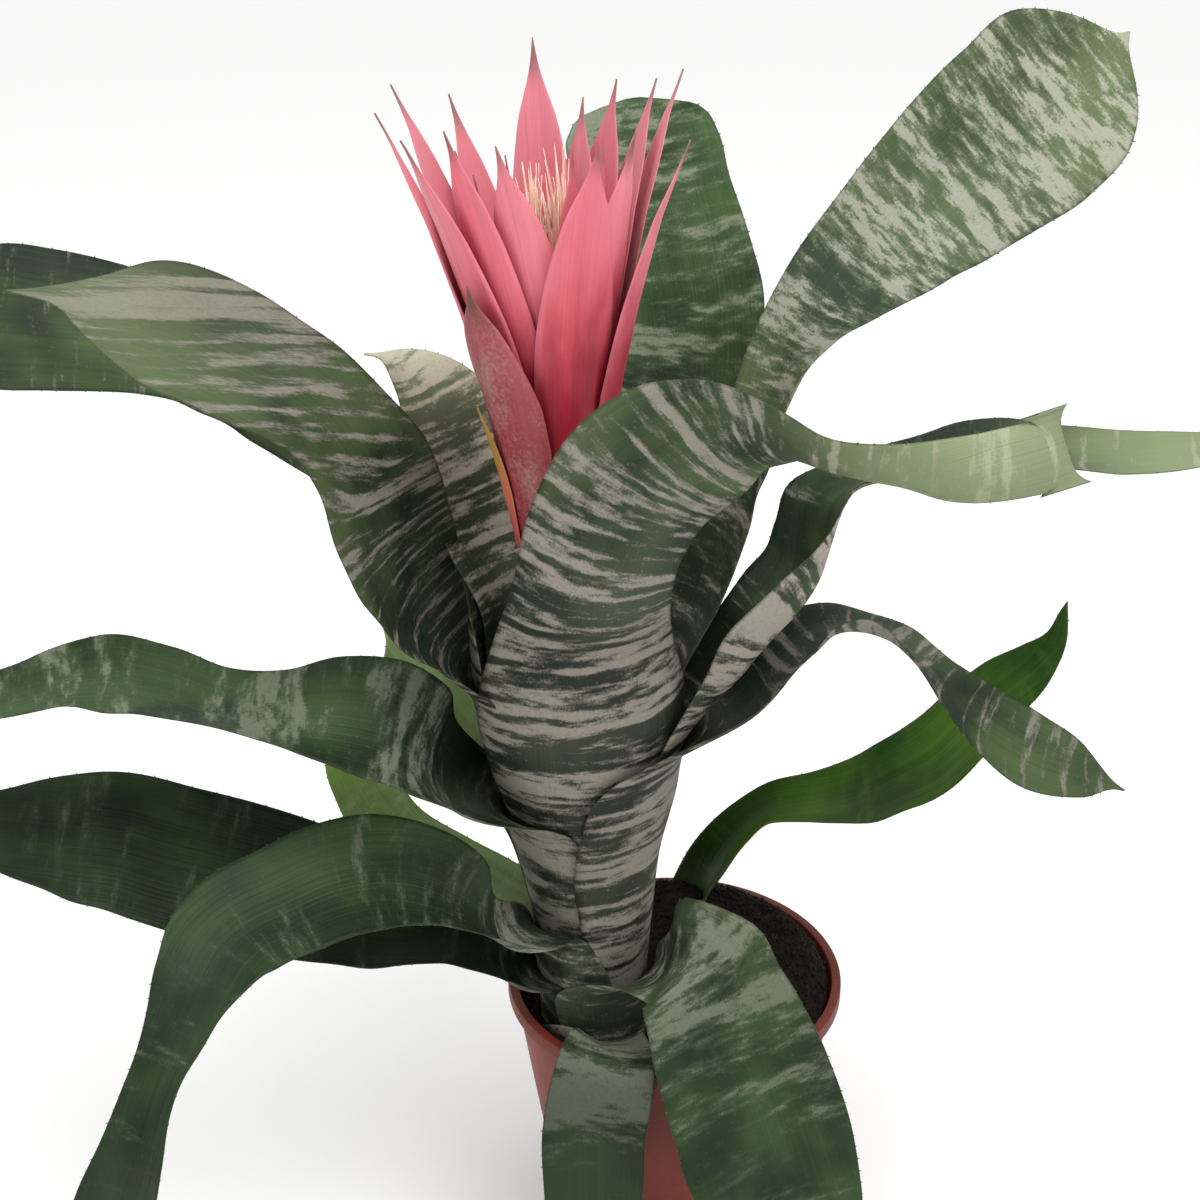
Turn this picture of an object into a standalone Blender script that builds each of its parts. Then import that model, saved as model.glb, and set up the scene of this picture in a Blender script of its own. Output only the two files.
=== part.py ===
"""A silver vase bromeliad in bloom in a plain plastic nursery pot. Metres, +Z up, origin at the centre
of the pot's flat underside. The plant stands on its own leaning frame, whose foot is on the soil."""

import math

import bmesh
import bpy
import numpy as np
from mathutils import Vector

MM = 0.001
GAP = 0.4 * MM  # clearance between pieces that touch

# Pot, turned about Z
POT_HEIGHT = 115 * MM
RIM_RADIUS = 65 * MM  # outside of the collar
BASE_RADIUS = 45 * MM
POT_WALL = 1.6 * MM
FLOOR_WALL = 2.4 * MM
COLLAR_HEIGHT = 6 * MM
COLLAR_STEP = 2 * MM  # how far the collar stands out from the wall below it
RIM_ROUND = 0.6 * MM
POT_SEGMENTS = 48
DRAIN_HOLES = 6
DRAIN_RADIUS = 4 * MM
DRAIN_RING = 0.62  # of the base radius
DRAIN_TURN = 0.4  # of the angle between holes, keeps them off the wall's facet lines
DRAIN_SEGMENTS = 12

# Soil
SOIL_DEPTH = 8 * MM  # below the rim, where the plant stands
SOIL_MOUND = 15 * MM  # rise of the heap behind the plant
MOUND_SIDE = math.radians(52)  # which way the heap lies
MOUND_START = -0.2  # of the rim radius, along that way
MOUND_RUN = 0.9
WALL_START = -0.5  # the same, for the soil that meets the wall
WALL_RUN = 1.2
WALL_BAND = 0.16  # outer share of the soil that settles to the wall
SOIL_MARGIN = 2 * MM  # lowest rim that stays clear of soil
SOIL_EDGE = 3 * MM  # its wall contact is taken this far below the foot
SOIL_RINGS = 6
SEAT_RADIUS = 26 * MM  # soil lies flat under the sheaths within this
SEAT_FADE = 12 * MM

# Where the plant stands
FOOT = (-0.46 * RIM_RADIUS, -0.185 * RIM_RADIUS)
LEAN = math.radians(3.2)  # towards -X
STEM_RADIUS = 6.5 * MM
STEM_BURIED = 22 * MM
STEM_TAPER = (20 * MM, 60 * MM)  # heights between which the stem narrows to the scape
SCAPE_RADIUS = 4.2 * MM
SCAPE_HEIGHT = 172 * MM  # where it starts to widen under the bracts
HEAD_EDGE = 3 * MM  # thickness of the disc that the bracts stand on
SPIKE_TOP = 286 * MM
SPIKE_RADIUS = 4.4 * MM
SPIKE_SHOULDER = 8 * MM
SPIKE_MIDDLE_WIDTH = 0.8  # of the spike's radius
SPIKE_SHOULDER_WIDTH = 0.5
STEM_SEGMENTS = 20

# Sheaths: nested turned surfaces about the plant's axis, level 0 outermost
LEVEL_HEIGHTS = [h * MM for h in (1, 24, 48, 72, 96, 120, 144, 168, 192)]
SHEATH_CLEARANCES = [r * MM for r in (10.5, 12, 15, 18.5, 25, 31.5, 35.5, 35.5, 34.5)]  # from the stem
REFERENCE_LEVEL = 5
BLADE_THICKNESS = 1.1 * MM
SHEATH_PITCHES = [BLADE_THICKNESS + g * MM for g in (0.4, 0.5, 0.6, 0.7, 0.8, 0.9, 1.1, 1.1, 1.1)]
MARGIN_THINNING = 0.5  # share of the thickness lost at a leaf's margins

# Flower head: bracts on nested cones about the plant's axis, level 0 outermost
BRACT_HEIGHTS = [h * MM for h in (198, 225, 252, 280, 308, 335, 362)]
OUTER_CONE = [SPIKE_RADIUS + r * MM for r in (10.1, 13.6, 17.6, 24.6, 32.6, 42.6, 55.6)]
INNER_CONE = [SPIKE_RADIUS + r * MM for r in (1, 1.6, 2.6, 4.6, 7.1, 10.1, 13.6)]
BRACT_LEVELS = 8
BRACT_THICKNESS = 0.6 * MM
BRACT_STATIONS = 7
BRACT_COLUMNS = 4
BRACT_FOOT_WIDTH = 0.4  # of the full width
BRACT_SWELL = 1.5  # how fast the width grows from the foot
BRACT_TIP_WIDTH = 0.04
BRACT_TAPER_START = 0.5  # share of the height from which it narrows

GREEN = (0.045, 0.085, 0.042)
SILVER_GREEN = (0.16, 0.19, 0.15)
BRIGHT_GREEN = (0.09, 0.2, 0.02)
PALE_GREEN = (0.3, 0.42, 0.22)
PINK = (0.75, 0.17, 0.24)
DEEP_PINK = (0.45, 0.09, 0.12)
ORANGE = (0.65, 0.2, 0.08)
PEACH = (0.85, 0.55, 0.4)
TERRACOTTA = (0.42, 0.1, 0.06)
SOIL_BLACK = (0.014, 0.011, 0.011)

# Leaves. azimuth: degrees from +X, anticlockwise from above. level: which nested sheath it grows on.
# sheath: half the angle that it wraps, in degrees, at each level height from the soil up. turn: how far
# the sheath sits round from the azimuth.
# blade: stations of (out, up, side, width, roll, hollow), in mm and degrees from the plant's foot, where
# out and side lie along and across the azimuth, and hollow is the channel's depth over the width.
# over_rim: out and side are stated for a rim of REFERENCE_RIM, and follow the real one.
REFERENCE_RIM = 65 * MM
LEAVES = {
    "leaf_front_tall": dict(
        azimuth=-75, turn=-6, level=6, columns=8, colour=SILVER_GREEN,
        sheath=(70, 70, 70, 70, 70, 70, 66, 52),
        blade=[(39, 194, -1, 52, -18, 0.22), (43, 217, 5, 52, -34, 0.16), (49, 236, 16, 54, -46, 0.14),
               (59, 248, 28, 54, -52, 0.13), (70, 255, 41, 49, -50, 0.12), (80, 254, 52, 43, -42, 0.12),
               (90, 250, 63, 37, -36, 0.14), (100, 248, 77, 31, -42, 0.16), (107, 246, 93, 23, -76, 0.18),
               (111, 247, 109, 21, -108, 0.14), (113, 250, 121, 13, -108, 0.1),
               (114, 253, 127, 3, -105, 0)]),
    "leaf_left_tall": dict(
        azimuth=190, level=7, columns=8, colour=SILVER_GREEN,
        sheath=(60, 60, 60, 60, 54, 44, 25),
        blade=[(39, 166, 1, 31, -14, 0.2), (48, 186, 5, 41, -40, 0.16), (55, 207, 8, 48, -54, 0.12),
               (61, 227, 12, 49, -55, 0.1), (68, 246, 15, 46, -49, 0.08), (78, 262, 18, 45, -42, 0.08),
               (94, 275, 18, 49, -38, 0.08), (110, 286, 19, 52, -38, 0.08), (125, 294, 20, 47, -34, 0.08),
               (139, 299, 19, 31, -22, 0.1), (150, 303, 18, 12, -15, 0.12), (160, 305, 19, 3, -15, 0)]),
    "leaf_left_back": dict(
        azimuth=168, level=8, columns=6, colour=GREEN,
        sheath=(50, 50, 50, 50, 50, 48, 44, 34),
        blade=[(37, 181, -21, 22, -6, 0.2), (53, 195, -24, 24, -20, 0.14), (76, 216, -17, 31, -36, 0.1),
               (100, 241, -9, 37, -44, 0.08), (122, 264, 3, 43, -44, 0.08), (143, 275, 15, 49, -42, 0.07),
               (161, 282, 28, 53, -44, 0.06), (179, 285, 34, 50, -52, 0.05), (195, 287, 39, 36, -54, 0.04),
               (207, 288, 43, 14, -54, 0.02), (211, 288, 44, 4, -54, 0)]),
    "leaf_right_paddle": dict(
        azimuth=20, level=7, columns=8, colour=SILVER_GREEN,
        sheath=(60, 60, 60, 60, 55, 46, 34),
        blade=[(45, 170, 0, 33, 20, 0.24), (55, 198, -1, 35, 24, 0.24), (64, 219, -2, 34, 16, 0.24),
               (71, 234, -3, 34, 4, 0.24), (79, 247, -1, 36, 0, 0.2), (89, 257, 2, 37, 8, 0.16),
               (104, 268, 5, 41, 26, 0.12), (128, 283, 7, 49, 46, 0.08), (155, 300, 8, 60, 56, 0.06),
               (181, 315, 9, 67, 58, 0.05), (203, 329, 12, 60, 56, 0.05), (217, 334, 15, 33, 56, 0.04),
               (224, 338, 17, 6, 56, 0)]),
    "leaf_behind_flower": dict(
        azimuth=75, level=9, columns=8, colour=GREEN,
        sheath=(26, 26, 26, 26, 26, 26, 25, 24),
        blade=[(43, 194, -10, 34, 12, 0.2), (55, 213, -19, 43, 18, 0.16), (66, 234, -25, 55, 16, 0.12),
               (76, 257, -24, 64, 11, 0.1), (85, 277, -19, 61, 8, 0.08), (94, 296, -12, 54, 6, 0.07),
               (101, 310, -7, 45, 7, 0.06), (106, 319, -4, 31, 8, 0.05), (109, 323, -3, 10, 8, 0)]),
    "leaf_back_left": dict(
        azimuth=130, level=9, columns=6, colour=SILVER_GREEN,
        sheath=(28, 28, 28, 28, 28, 27, 26, 25),
        blade=[(37, 189, 0, 28, -10, 0.2), (46, 213, 2, 32, -12, 0.14), (55, 232, 5, 34, -9, 0.12),
               (66, 244, 8, 29, -3, 0.12), (76, 250, 13, 18, 4, 0.1), (82, 250, 17, 4, 4, 0)]),
    "leaf_left_middle": dict(
        azimuth=195, turn=12, level=5, columns=8, colour=SILVER_GREEN,
        sheath=(80, 80, 78, 70, 56),
        blade=[(43, 119, 14, 44, -24, 0.28), (54, 133, 16, 43, -38, 0.22), (67, 143, 17, 43, -46, 0.16),
               (85, 152, 14, 41, -34, 0.13), (103, 157, 11, 39, -14, 0.13), (122, 163, 8, 39, -4, 0.12),
               (141, 171, 4, 40, -10, 0.1), (157, 176, 2, 39, -14, 0.1), (174, 177, 2, 33, -11, 0.1),
               (191, 175, 3, 24, -14, 0.08), (207, 174, 1, 12, -18, 0.05), (218, 174, -1, 3, -18, 0)]),
    "leaf_right_twisted": dict(
        azimuth=8, level=5, columns=6, colour=SILVER_GREEN,
        sheath=(60, 60, 60, 60, 58, 54),
        blade=[(46, 154, -10, 38, 0, 0.4), (55, 170, -13, 36, -10, 0.48), (65, 179, -11, 37, -14, 0.48),
               (75, 186, -8, 37, -13, 0.4), (82, 194, -4, 36, -6, 0.28), (89, 204, 1, 35, 0, 0.2),
               (100, 209, 3, 34, -4, 0.15), (119, 214, -1, 36, -2, 0.13), (143, 219, -7, 38, 6, 0.12),
               (166, 218, -13, 35, 5, 0.12), (189, 216, -21, 30, 9, 0.1), (213, 217, -28, 20, 14, 0.08),
               (234, 220, -33, 4, 20, 0)]),
    "leaf_right_drooping": dict(
        azimuth=-5, turn=-8, level=4, columns=8, colour=SILVER_GREEN,
        sheath=(80, 82, 84, 86, 78, 60),
        blade=[(58, 135, 6, 38, 4, 0.22), (70, 146, 13, 35, 6, 0.2), (81, 153, 18, 36, -2, 0.18),
               (91, 157, 20, 38, -12, 0.16), (103, 157, 19, 37, -22, 0.15), (114, 154, 15, 31, -20, 0.15),
               (123, 148, 8, 25, -14, 0.15), (132, 138, 2, 29, 8, 0.12), (145, 124, 2, 32, 17, 0.1),
               (162, 112, 0, 28, 20, 0.08), (178, 105, -1, 17, 20, 0.06), (190, 98, 0, 3, 22, 0)]),
    "leaf_left_drooping": dict(
        azimuth=205, turn=18, level=3, over_rim=True, columns=8, colour=GREEN,
        sheath=(80, 66, 42),
        blade=[(37, 64, 20, 30, -14, 0.3), (50, 78, 16, 32, -30, 0.25), (65, 88, 11, 36, -43, 0.2),
               (81, 94, 9, 42, -40, 0.14), (99, 96, 9, 44, -33, 0.1), (116, 94, 10, 43, -30, 0.09),
               (131, 92, 12, 41, -31, 0.09), (142, 89, 17, 37, -31, 0.1), (151, 83, 24, 30, -33, 0.12),
               (160, 74, 30, 23, -34, 0.14), (168, 65, 35, 19, -32, 0.14), (176, 54, 39, 19, -33, 0.14),
               (184, 39, 43, 23, -42, 0.12), (193, 18, 42, 28, -54, 0.1), (203, -9, 37, 27, -58, 0.08),
               (209, -37, 31, 16, -56, 0.05), (213, -57, 27, 4, -56, 0)]),
    "leaf_left_broad": dict(
        azimuth=185, level=2, over_rim=True, columns=8, colour=GREEN,
        sheath=(80, 54),
        blade=[(26, 36, 16, 31, -12, 0.3), (39, 47, 14, 32, -20, 0.24), (58, 56, 12, 38, -28, 0.16),
               (78, 63, 13, 45, -36, 0.12), (100, 71, 11, 51, -39, 0.09), (123, 81, 10, 54, -38, 0.07),
               (147, 92, 11, 54, -38, 0.06), (167, 102, 12, 52, -37, 0.06), (186, 108, 14, 45, -33, 0.06),
               (204, 113, 16, 33, -27, 0.05), (222, 117, 17, 17, -24, 0.04), (234, 118, 17, 4, -24, 0)]),
    "leaf_front_right": dict(
        azimuth=-55, level=1, over_rim=True, columns=8, colour=GREEN,
        sheath=(70, 64),
        blade=[(33, 41, 1, 35, 16, 0.28), (41, 47, 5, 43, 30, 0.22), (51, 45, 9, 48, 33, 0.16),
               (62, 34, 10, 53, 27, 0.12), (72, 20, 10, 59, 23, 0.1), (81, 2, 11, 63, 20, 0.09),
               (89, -17, 12, 64, 20, 0.08), (95, -37, 14, 60, 22, 0.07), (101, -57, 17, 48, 24, 0.06),
               (105, -73, 19, 26, 26, 0.04), (107, -82, 20, 5, 26, 0)]),
    "leaf_front_low": dict(
        azimuth=-95, level=0, over_rim=True, columns=6, colour=GREEN,
        sheath=(55,),
        blade=[(28, 10, 8, 25, -12, 0.2), (37, 14, 9, 30, -14, 0.14), (47, 14, 9, 34, -14, 0.1),
               (57, 7, 7, 37, -13, 0.08), (64, -7, 4, 37, -11, 0.08), (68, -27, 3, 36, -9, 0.08),
               (70, -49, 2, 32, -8, 0.07), (70, -67, 1, 22, -8, 0.05), (70, -79, 1, 4, -8, 0)]),
    "leaf_low_light": dict(
        azimuth=150, turn=-12, level=1, over_rim=True, columns=6, colour=PALE_GREEN,
        sheath=(40, 24),
        blade=[(29, 36, -6, 22, -8, 0.22), (44, 45, -5, 22, -20, 0.16), (63, 55, 0, 25, -30, 0.13),
               (82, 64, 8, 27, -36, 0.12), (93, 78, 10, 26, -35, 0.1), (100, 94, 10, 19, -33, 0.08),
               (103, 107, 10, 4, -33, 0)]),
    "leaf_mid_pale": dict(
        azimuth=140, level=4, columns=6, colour=PALE_GREEN,
        sheath=(44, 38, 32),
        blade=[(32, 72, -4, 24, -8, 0.24), (44, 94, 2, 25, -26, 0.18), (57, 113, 9, 28, -34, 0.14),
               (66, 127, 12, 28, -32, 0.12), (74, 137, 13, 20, -24, 0.1), (81, 143, 13, 4, -18, 0)]),
    "leaf_back_low": dict(
        azimuth=93, level=0, over_rim=True, columns=6, colour=GREEN,
        sheath=(40, 26),
        blade=[(33, 40, -9, 27, 0, 0.2), (48, 56, -8, 32, 0, 0.13), (68, 70, -5, 38, 0, 0.1),
               (92, 78, -5, 40, 0, 0.09), (117, 81, -5, 39, 0, 0.09), (141, 75, -5, 33, 0, 0.09),
               (162, 61, -6, 22, 0, 0.07), (174, 48, -6, 4, 0, 0)]),
    "leaf_back_middle": dict(
        azimuth=112, level=6, columns=6, colour=GREEN,
        sheath=(50, 50, 50, 46, 40, 34),
        blade=[(46, 144, -3, 38, 0, 0.18), (57, 159, -3, 37, 0, 0.13), (74, 169, -3, 36, 0, 0.11),
               (94, 172, -3, 36, 0, 0.1), (115, 167, -3, 34, 0, 0.1), (134, 154, -3, 28, 0, 0.08),
               (149, 139, -4, 16, 0, 0.06), (155, 130, -4, 4, 0, 0)]),
    "leaf_offset": dict(
        azimuth=15, level=None, over_rim=True, columns=6, colour=BRIGHT_GREEN,
        sheath=(),
        blade=[(50, 17, 41, 15, 15, 0.35), (59, 34, 36, 15, 35, 0.35), (69, 50, 30, 17, 25, 0.35),
               (79, 61, 24, 21, 16, 0.3), (93, 66, 15, 26, 17, 0.22), (107, 71, 6, 30, 24, 0.16),
               (121, 80, -3, 33, 30, 0.1), (133, 91, -11, 33, 31, 0.08), (143, 106, -18, 30, 33, 0.06),
               (154, 122, -25, 25, 37, 0.05), (163, 133, -31, 18, 38, 0.04), (169, 144, -35, 9, 36, 0.02),
               (171, 155, -36, 3, 30, 0)]),
}

# Bracts: (level, azimuth, drift, tip height, width, flare), in degrees and mm. drift is how far the tip
# turns from the foot's azimuth, and flare how far the tip bends out from its cone.
BRACTS = [
    (0, 178, 0, 343, 17, -1), (0, 343, 0, 332, 17, 3), (0, 84, 0, 322, 16, 0), (0, 131, 0, 324, 16, 0),
    (0, 38, 0, 322, 17, 0),
    (1, 290, 8, 337, 21, 0), (1, 214, 0, 339, 20, 3), (1, 160, 0, 349, 17, 0), (1, 92, 0, 326, 18, 0),
    (1, 17, 0, 349, 16, 0),
    (2, 229, 0, 342, 19, 0), (2, 321, 0, 337, 18, 0), (2, 25, 0, 346, 19, 0), (2, 146, 0, 322, 17, 0),
    (3, 264, -14, 337, 20, 0), (3, 142, 0, 344, 17, 0), (3, 46, 0, 345, 19, 0),
    (4, 61, 0, 340, 16, 0), (4, 240, 0, 322, 14, 0), (4, 318, 0, 333, 15, 0),
    (5, 92, 0, 359, 19, 0), (5, 200, 0, 324, 14, 0), (5, 330, 0, 326, 12, 0),
    (6, 308, 0, 331, 11, 0), (6, 25, 0, 318, 10, 0), (7, 224, 0, 330, 8, 0),
]
# Two bracts lower on the scape, outside the head, on cones one and two pitches further out
SCAPE_BRACTS = {
    "scape_bract_large": (-1, 222, 8, 294, 19, 0, DEEP_PINK),
    "scape_bract_small": (-2, 206, 0, 250, 6, 2, ORANGE),
}
FLORET_LENGTHS = [l * MM for l in (62, 52, 56, 48, 58, 50)]
FLORET_RADIUS = 1.7 * MM
FLORET_RING = SPIKE_RADIUS + FLORET_RADIUS + 0.1 * MM
FLORET_FOOT = 262 * MM
FLORET_PROFILE = [(0.5, 0), (1, 0.3), (0.8, 0.75), (0.3, 1)]  # shares of the radius and the length
FLORET_SEGMENTS = 8


def mix(a, b, share):
    return a + (b - a) * share


def smooth(value):
    value = min(max(value, 0.0), 1.0)
    return value * value * (3 - 2 * value)


def material(name, colour, roughness):
    made = bpy.data.materials.new(name)
    made.use_nodes = True
    shader = made.node_tree.nodes["Principled BSDF"]
    shader.inputs["Base Color"].default_value = (*colour, 1)
    shader.inputs["Roughness"].default_value = roughness
    shader.inputs["Metallic"].default_value = 0
    return made


def add_object(name, mesh, colour, roughness, parent=None):
    mesh.materials.append(material(name, colour, roughness))
    mesh.shade_smooth()
    mesh.set_sharp_from_angle(angle=math.radians(40))
    made = bpy.data.objects.new(name, mesh)
    bpy.context.scene.collection.objects.link(made)
    made.parent = parent
    return made


def mesh_from(name, points, faces):
    """A mesh whose faces are turned to point out."""
    mesh = bpy.data.meshes.new(name)
    mesh.from_pydata([tuple(p) for p in points], [], faces)
    shell = bmesh.new()
    shell.from_mesh(mesh)
    bmesh.ops.recalc_face_normals(shell, faces=shell.faces)
    shell.to_mesh(mesh)
    shell.free()
    return mesh


def turned(name, profile, segments):
    """A closed solid turned about Z from (radius, height) points that start and end on the axis."""
    points = []
    rings = []
    for radius, height in profile:
        if radius == 0:
            rings.append([len(points)])
            points.append((0, 0, height))
            continue
        rings.append(range(len(points), len(points) + segments))
        for k in range(segments):
            angle = 2 * math.pi * k / segments
            points.append((radius * math.cos(angle), radius * math.sin(angle), height))
    faces = []
    for low, high in zip(rings, rings[1:]):
        for k in range(segments):
            after = (k + 1) % segments
            if len(low) == 1:
                faces.append((low[0], high[after], high[k]))
            elif len(high) == 1:
                faces.append((low[k], low[after], high[0]))
            else:
                faces.append((low[k], low[after], high[after], high[k]))
    return mesh_from(name, points, faces)


def cut(piece, cutter):
    cutter.hide_render = True
    cutter.display_type = "WIRE"
    boolean = piece.modifiers.new("cut", "BOOLEAN")
    boolean.operation = "DIFFERENCE"
    boolean.solver = "EXACT"
    boolean.object = cutter


def inner_radius(height):
    """The pot's inner wall at a height above its underside."""
    base = BASE_RADIUS - POT_WALL
    top = RIM_RADIUS - COLLAR_STEP - POT_WALL
    return mix(base, top, (height - FLOOR_WALL) / (POT_HEIGHT - FLOOR_WALL))


def build_pot():
    wall_top = RIM_RADIUS - COLLAR_STEP
    collar_foot = POT_HEIGHT - COLLAR_HEIGHT
    profile = [
        (0, 0),
        (BASE_RADIUS - RIM_ROUND, 0),
        (BASE_RADIUS, RIM_ROUND),
        (mix(BASE_RADIUS, wall_top, collar_foot / POT_HEIGHT), collar_foot),
        (RIM_RADIUS - RIM_ROUND, collar_foot + RIM_ROUND),
        (RIM_RADIUS, collar_foot + 2 * RIM_ROUND),
        (RIM_RADIUS, POT_HEIGHT - RIM_ROUND),
        (RIM_RADIUS - RIM_ROUND, POT_HEIGHT),
        (inner_radius(POT_HEIGHT) + RIM_ROUND, POT_HEIGHT),
        (inner_radius(POT_HEIGHT - RIM_ROUND), POT_HEIGHT - RIM_ROUND),
        (inner_radius(FLOOR_WALL), FLOOR_WALL),
        (0, FLOOR_WALL),
    ]
    pot = add_object("pot", turned("pot", profile, POT_SEGMENTS), TERRACOTTA, 0.45)
    for k in range(DRAIN_HOLES):
        drill = turned("drill", [(0, -DRAIN_RADIUS), (DRAIN_RADIUS, -DRAIN_RADIUS),
                                 (DRAIN_RADIUS, 2 * DRAIN_RADIUS), (0, 2 * DRAIN_RADIUS)],
                       DRAIN_SEGMENTS)
        cutter = add_object("drain_cutter_%d" % (k + 1), drill, TERRACOTTA, 0.5)
        angle = 2 * math.pi * (k + DRAIN_TURN) / DRAIN_HOLES
        ring = DRAIN_RING * BASE_RADIUS
        cutter.location = (ring * math.cos(angle), ring * math.sin(angle), 0)
        cut(pot, cutter)
    return pot


def foot_height():
    return POT_HEIGHT - SOIL_DEPTH


def soil_height(x, y):
    """The soil's top at a place: level where the plant stands, heaped up behind it, lower at the wall."""
    along = (x * math.cos(MOUND_SIDE) + y * math.sin(MOUND_SIDE)) / RIM_RADIUS
    heaped = foot_height() + SOIL_MOUND * smooth((along - MOUND_START) / MOUND_RUN)
    at_wall = foot_height() + (SOIL_DEPTH - SOIL_MARGIN) * smooth((along - WALL_START) / WALL_RUN)
    band = math.hypot(x, y) / inner_radius(POT_HEIGHT) - (1 - WALL_BAND)
    heaped = mix(heaped, at_wall, smooth(band / WALL_BAND))
    seat = foot_height() + (x - FOOT[0]) * math.tan(LEAN) - GAP
    away = math.hypot(x - FOOT[0], y - FOOT[1])
    return mix(seat, heaped, smooth((away - SEAT_RADIUS) / SEAT_FADE))


def build_soil():
    bottom = FLOOR_WALL + GAP
    reach = math.cos(math.pi / POT_SEGMENTS)
    points = [(0, 0, soil_height(0, 0)), (0, 0, bottom)]
    rings = []
    for ring in range(1, SOIL_RINGS + 2):
        row = []
        for k in range(POT_SEGMENTS):
            angle = 2 * math.pi * k / POT_SEGMENTS
            if ring <= SOIL_RINGS:
                radius = (inner_radius(foot_height() - SOIL_EDGE) * reach - GAP) * ring / SOIL_RINGS
                x, y = radius * math.cos(angle), radius * math.sin(angle)
                z = soil_height(x, y)
            else:
                radius = inner_radius(bottom) * reach - GAP
                x, y, z = radius * math.cos(angle), radius * math.sin(angle), bottom
            row.append(len(points))
            points.append((x, y, z))
        rings.append(row)
    faces = []
    for k in range(POT_SEGMENTS):
        after = (k + 1) % POT_SEGMENTS
        faces.append((0, rings[0][k], rings[0][after]))
        faces.append((1, rings[-1][after], rings[-1][k]))
        for low, high in zip(rings, rings[1:]):
            faces.append((low[k], high[k], high[after], low[after]))
    return add_object("soil", mesh_from("soil", points, faces), SOIL_BLACK, 0.95)


def build_stem(plant):
    head = cone_radius(BRACT_HEIGHTS[0], 0)
    top = BRACT_HEIGHTS[0] - GAP
    profile = [
        (0, -STEM_BURIED),
        (STEM_RADIUS, -STEM_BURIED),
        (STEM_RADIUS, STEM_TAPER[0]),
        (SCAPE_RADIUS, STEM_TAPER[1]),
        (SCAPE_RADIUS, SCAPE_HEIGHT),
        (head, top - HEAD_EDGE),
        (head, top),
        (SPIKE_RADIUS, top),
        (SPIKE_RADIUS * SPIKE_MIDDLE_WIDTH, mix(top, SPIKE_TOP, 0.5)),
        (SPIKE_RADIUS * SPIKE_SHOULDER_WIDTH, SPIKE_TOP - SPIKE_SHOULDER),
        (0, SPIKE_TOP),
    ]
    return add_object("stem", turned("stem", profile, STEM_SEGMENTS), GREEN, 0.6, plant)


def thin_solid(name, grid, thickness):
    """A closed leaf-like solid about a grid of middle points, grid[station][column], outward side first."""
    grid = np.asarray(grid)
    along = np.gradient(grid, axis=0)
    across = np.gradient(grid, axis=1)
    normal = np.cross(across, along)
    normal /= np.linalg.norm(normal, axis=2)[..., None]
    stations, columns = grid.shape[:2]
    spread = np.linspace(-1, 1, columns)
    half = thickness / 2 * (1 - MARGIN_THINNING * spread ** 2)
    outer = grid + normal * half[None, :, None]
    inner = grid - normal * half[None, :, None]
    points = [Vector(p) for p in np.concatenate([outer.reshape(-1, 3), inner.reshape(-1, 3)])]
    count = stations * columns
    faces = []
    for i in range(stations - 1):
        for j in range(columns - 1):
            a, b = i * columns + j, i * columns + j + 1
            c, d = b + columns, a + columns
            faces.append((a, b, c, d))
            faces.append((a + count, d + count, c + count, b + count))
    edge = [(0, j) for j in range(columns)]
    edge += [(i, columns - 1) for i in range(1, stations)]
    edge += [(stations - 1, j) for j in range(columns - 2, -1, -1)]
    edge += [(i, 0) for i in range(stations - 2, 0, -1)]
    loop = [i * columns + j for i, j in edge]
    for a, b in zip(loop, loop[1:] + loop[:1]):
        faces.append((a, a + count, b + count, b))
    return mesh_from(name, points, faces)


def sheath_radius(height, level):
    clearance = np.interp(height, LEVEL_HEIGHTS, SHEATH_CLEARANCES)
    pitch = np.interp(height, LEVEL_HEIGHTS, SHEATH_PITCHES)
    return STEM_RADIUS + clearance - (level - REFERENCE_LEVEL) * pitch


def leaf_grid(leaf):
    """Middle points of a leaf: rings about the plant's axis in its sheath, then channelled stations."""
    azimuth = math.radians(leaf["azimuth"])
    out = np.array([math.cos(azimuth), math.sin(azimuth), 0])
    side = np.array([-math.sin(azimuth), math.cos(azimuth), 0])
    up = np.array([0, 0, 1.0])
    spread = np.linspace(-1, 1, leaf["columns"] + 1)
    rows = []
    last = None
    for height, half in zip(LEVEL_HEIGHTS, leaf["sheath"]):
        radius = sheath_radius(height, leaf["level"])
        turn = np.radians(leaf.get("turn", 0) + half * spread)
        rows.append(radius * (np.cos(turn)[:, None] * out + np.sin(turn)[:, None] * side) + height * up)
        last = radius * math.cos(math.radians(half)) * out + height * up
    reach = MM * (RIM_RADIUS / REFERENCE_RIM if leaf.get("over_rim") else 1)
    centres = [(o * out + s * side) * reach + u * MM * up for o, u, s, _, _, _ in leaf["blade"]]
    if last is None:
        last = 2 * centres[0] - centres[1]
    path = np.array([last] + centres)
    runs = np.gradient(path, axis=0)[1:]
    for run, centre, (_, _, _, width, roll, hollow) in zip(runs, centres, leaf["blade"]):
        run = run / np.linalg.norm(run)
        level = np.cross(up, run) + side * abs(run[2])
        level -= run * (level @ run)
        level /= np.linalg.norm(level)
        face = np.cross(run, level)
        turn = math.radians(roll)
        across = level * math.cos(turn) + face * math.sin(turn)
        above = face * math.cos(turn) - level * math.sin(turn)
        sag = hollow * width * MM * (1 - spread ** 2)
        rows.append(centre + spread[:, None] * across * width * MM / 2 - sag[:, None] * above)
    return rows


def build_leaves(plant):
    for name, leaf in LEAVES.items():
        mesh = thin_solid(name, leaf_grid(leaf), BLADE_THICKNESS)
        add_object(name, mesh, leaf["colour"], 0.5, plant)


def cone_radius(height, level):
    outer = np.interp(height, BRACT_HEIGHTS, OUTER_CONE)
    inner = np.interp(height, BRACT_HEIGHTS, INNER_CONE)
    return mix(outer, inner, level / (BRACT_LEVELS - 1))


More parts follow.
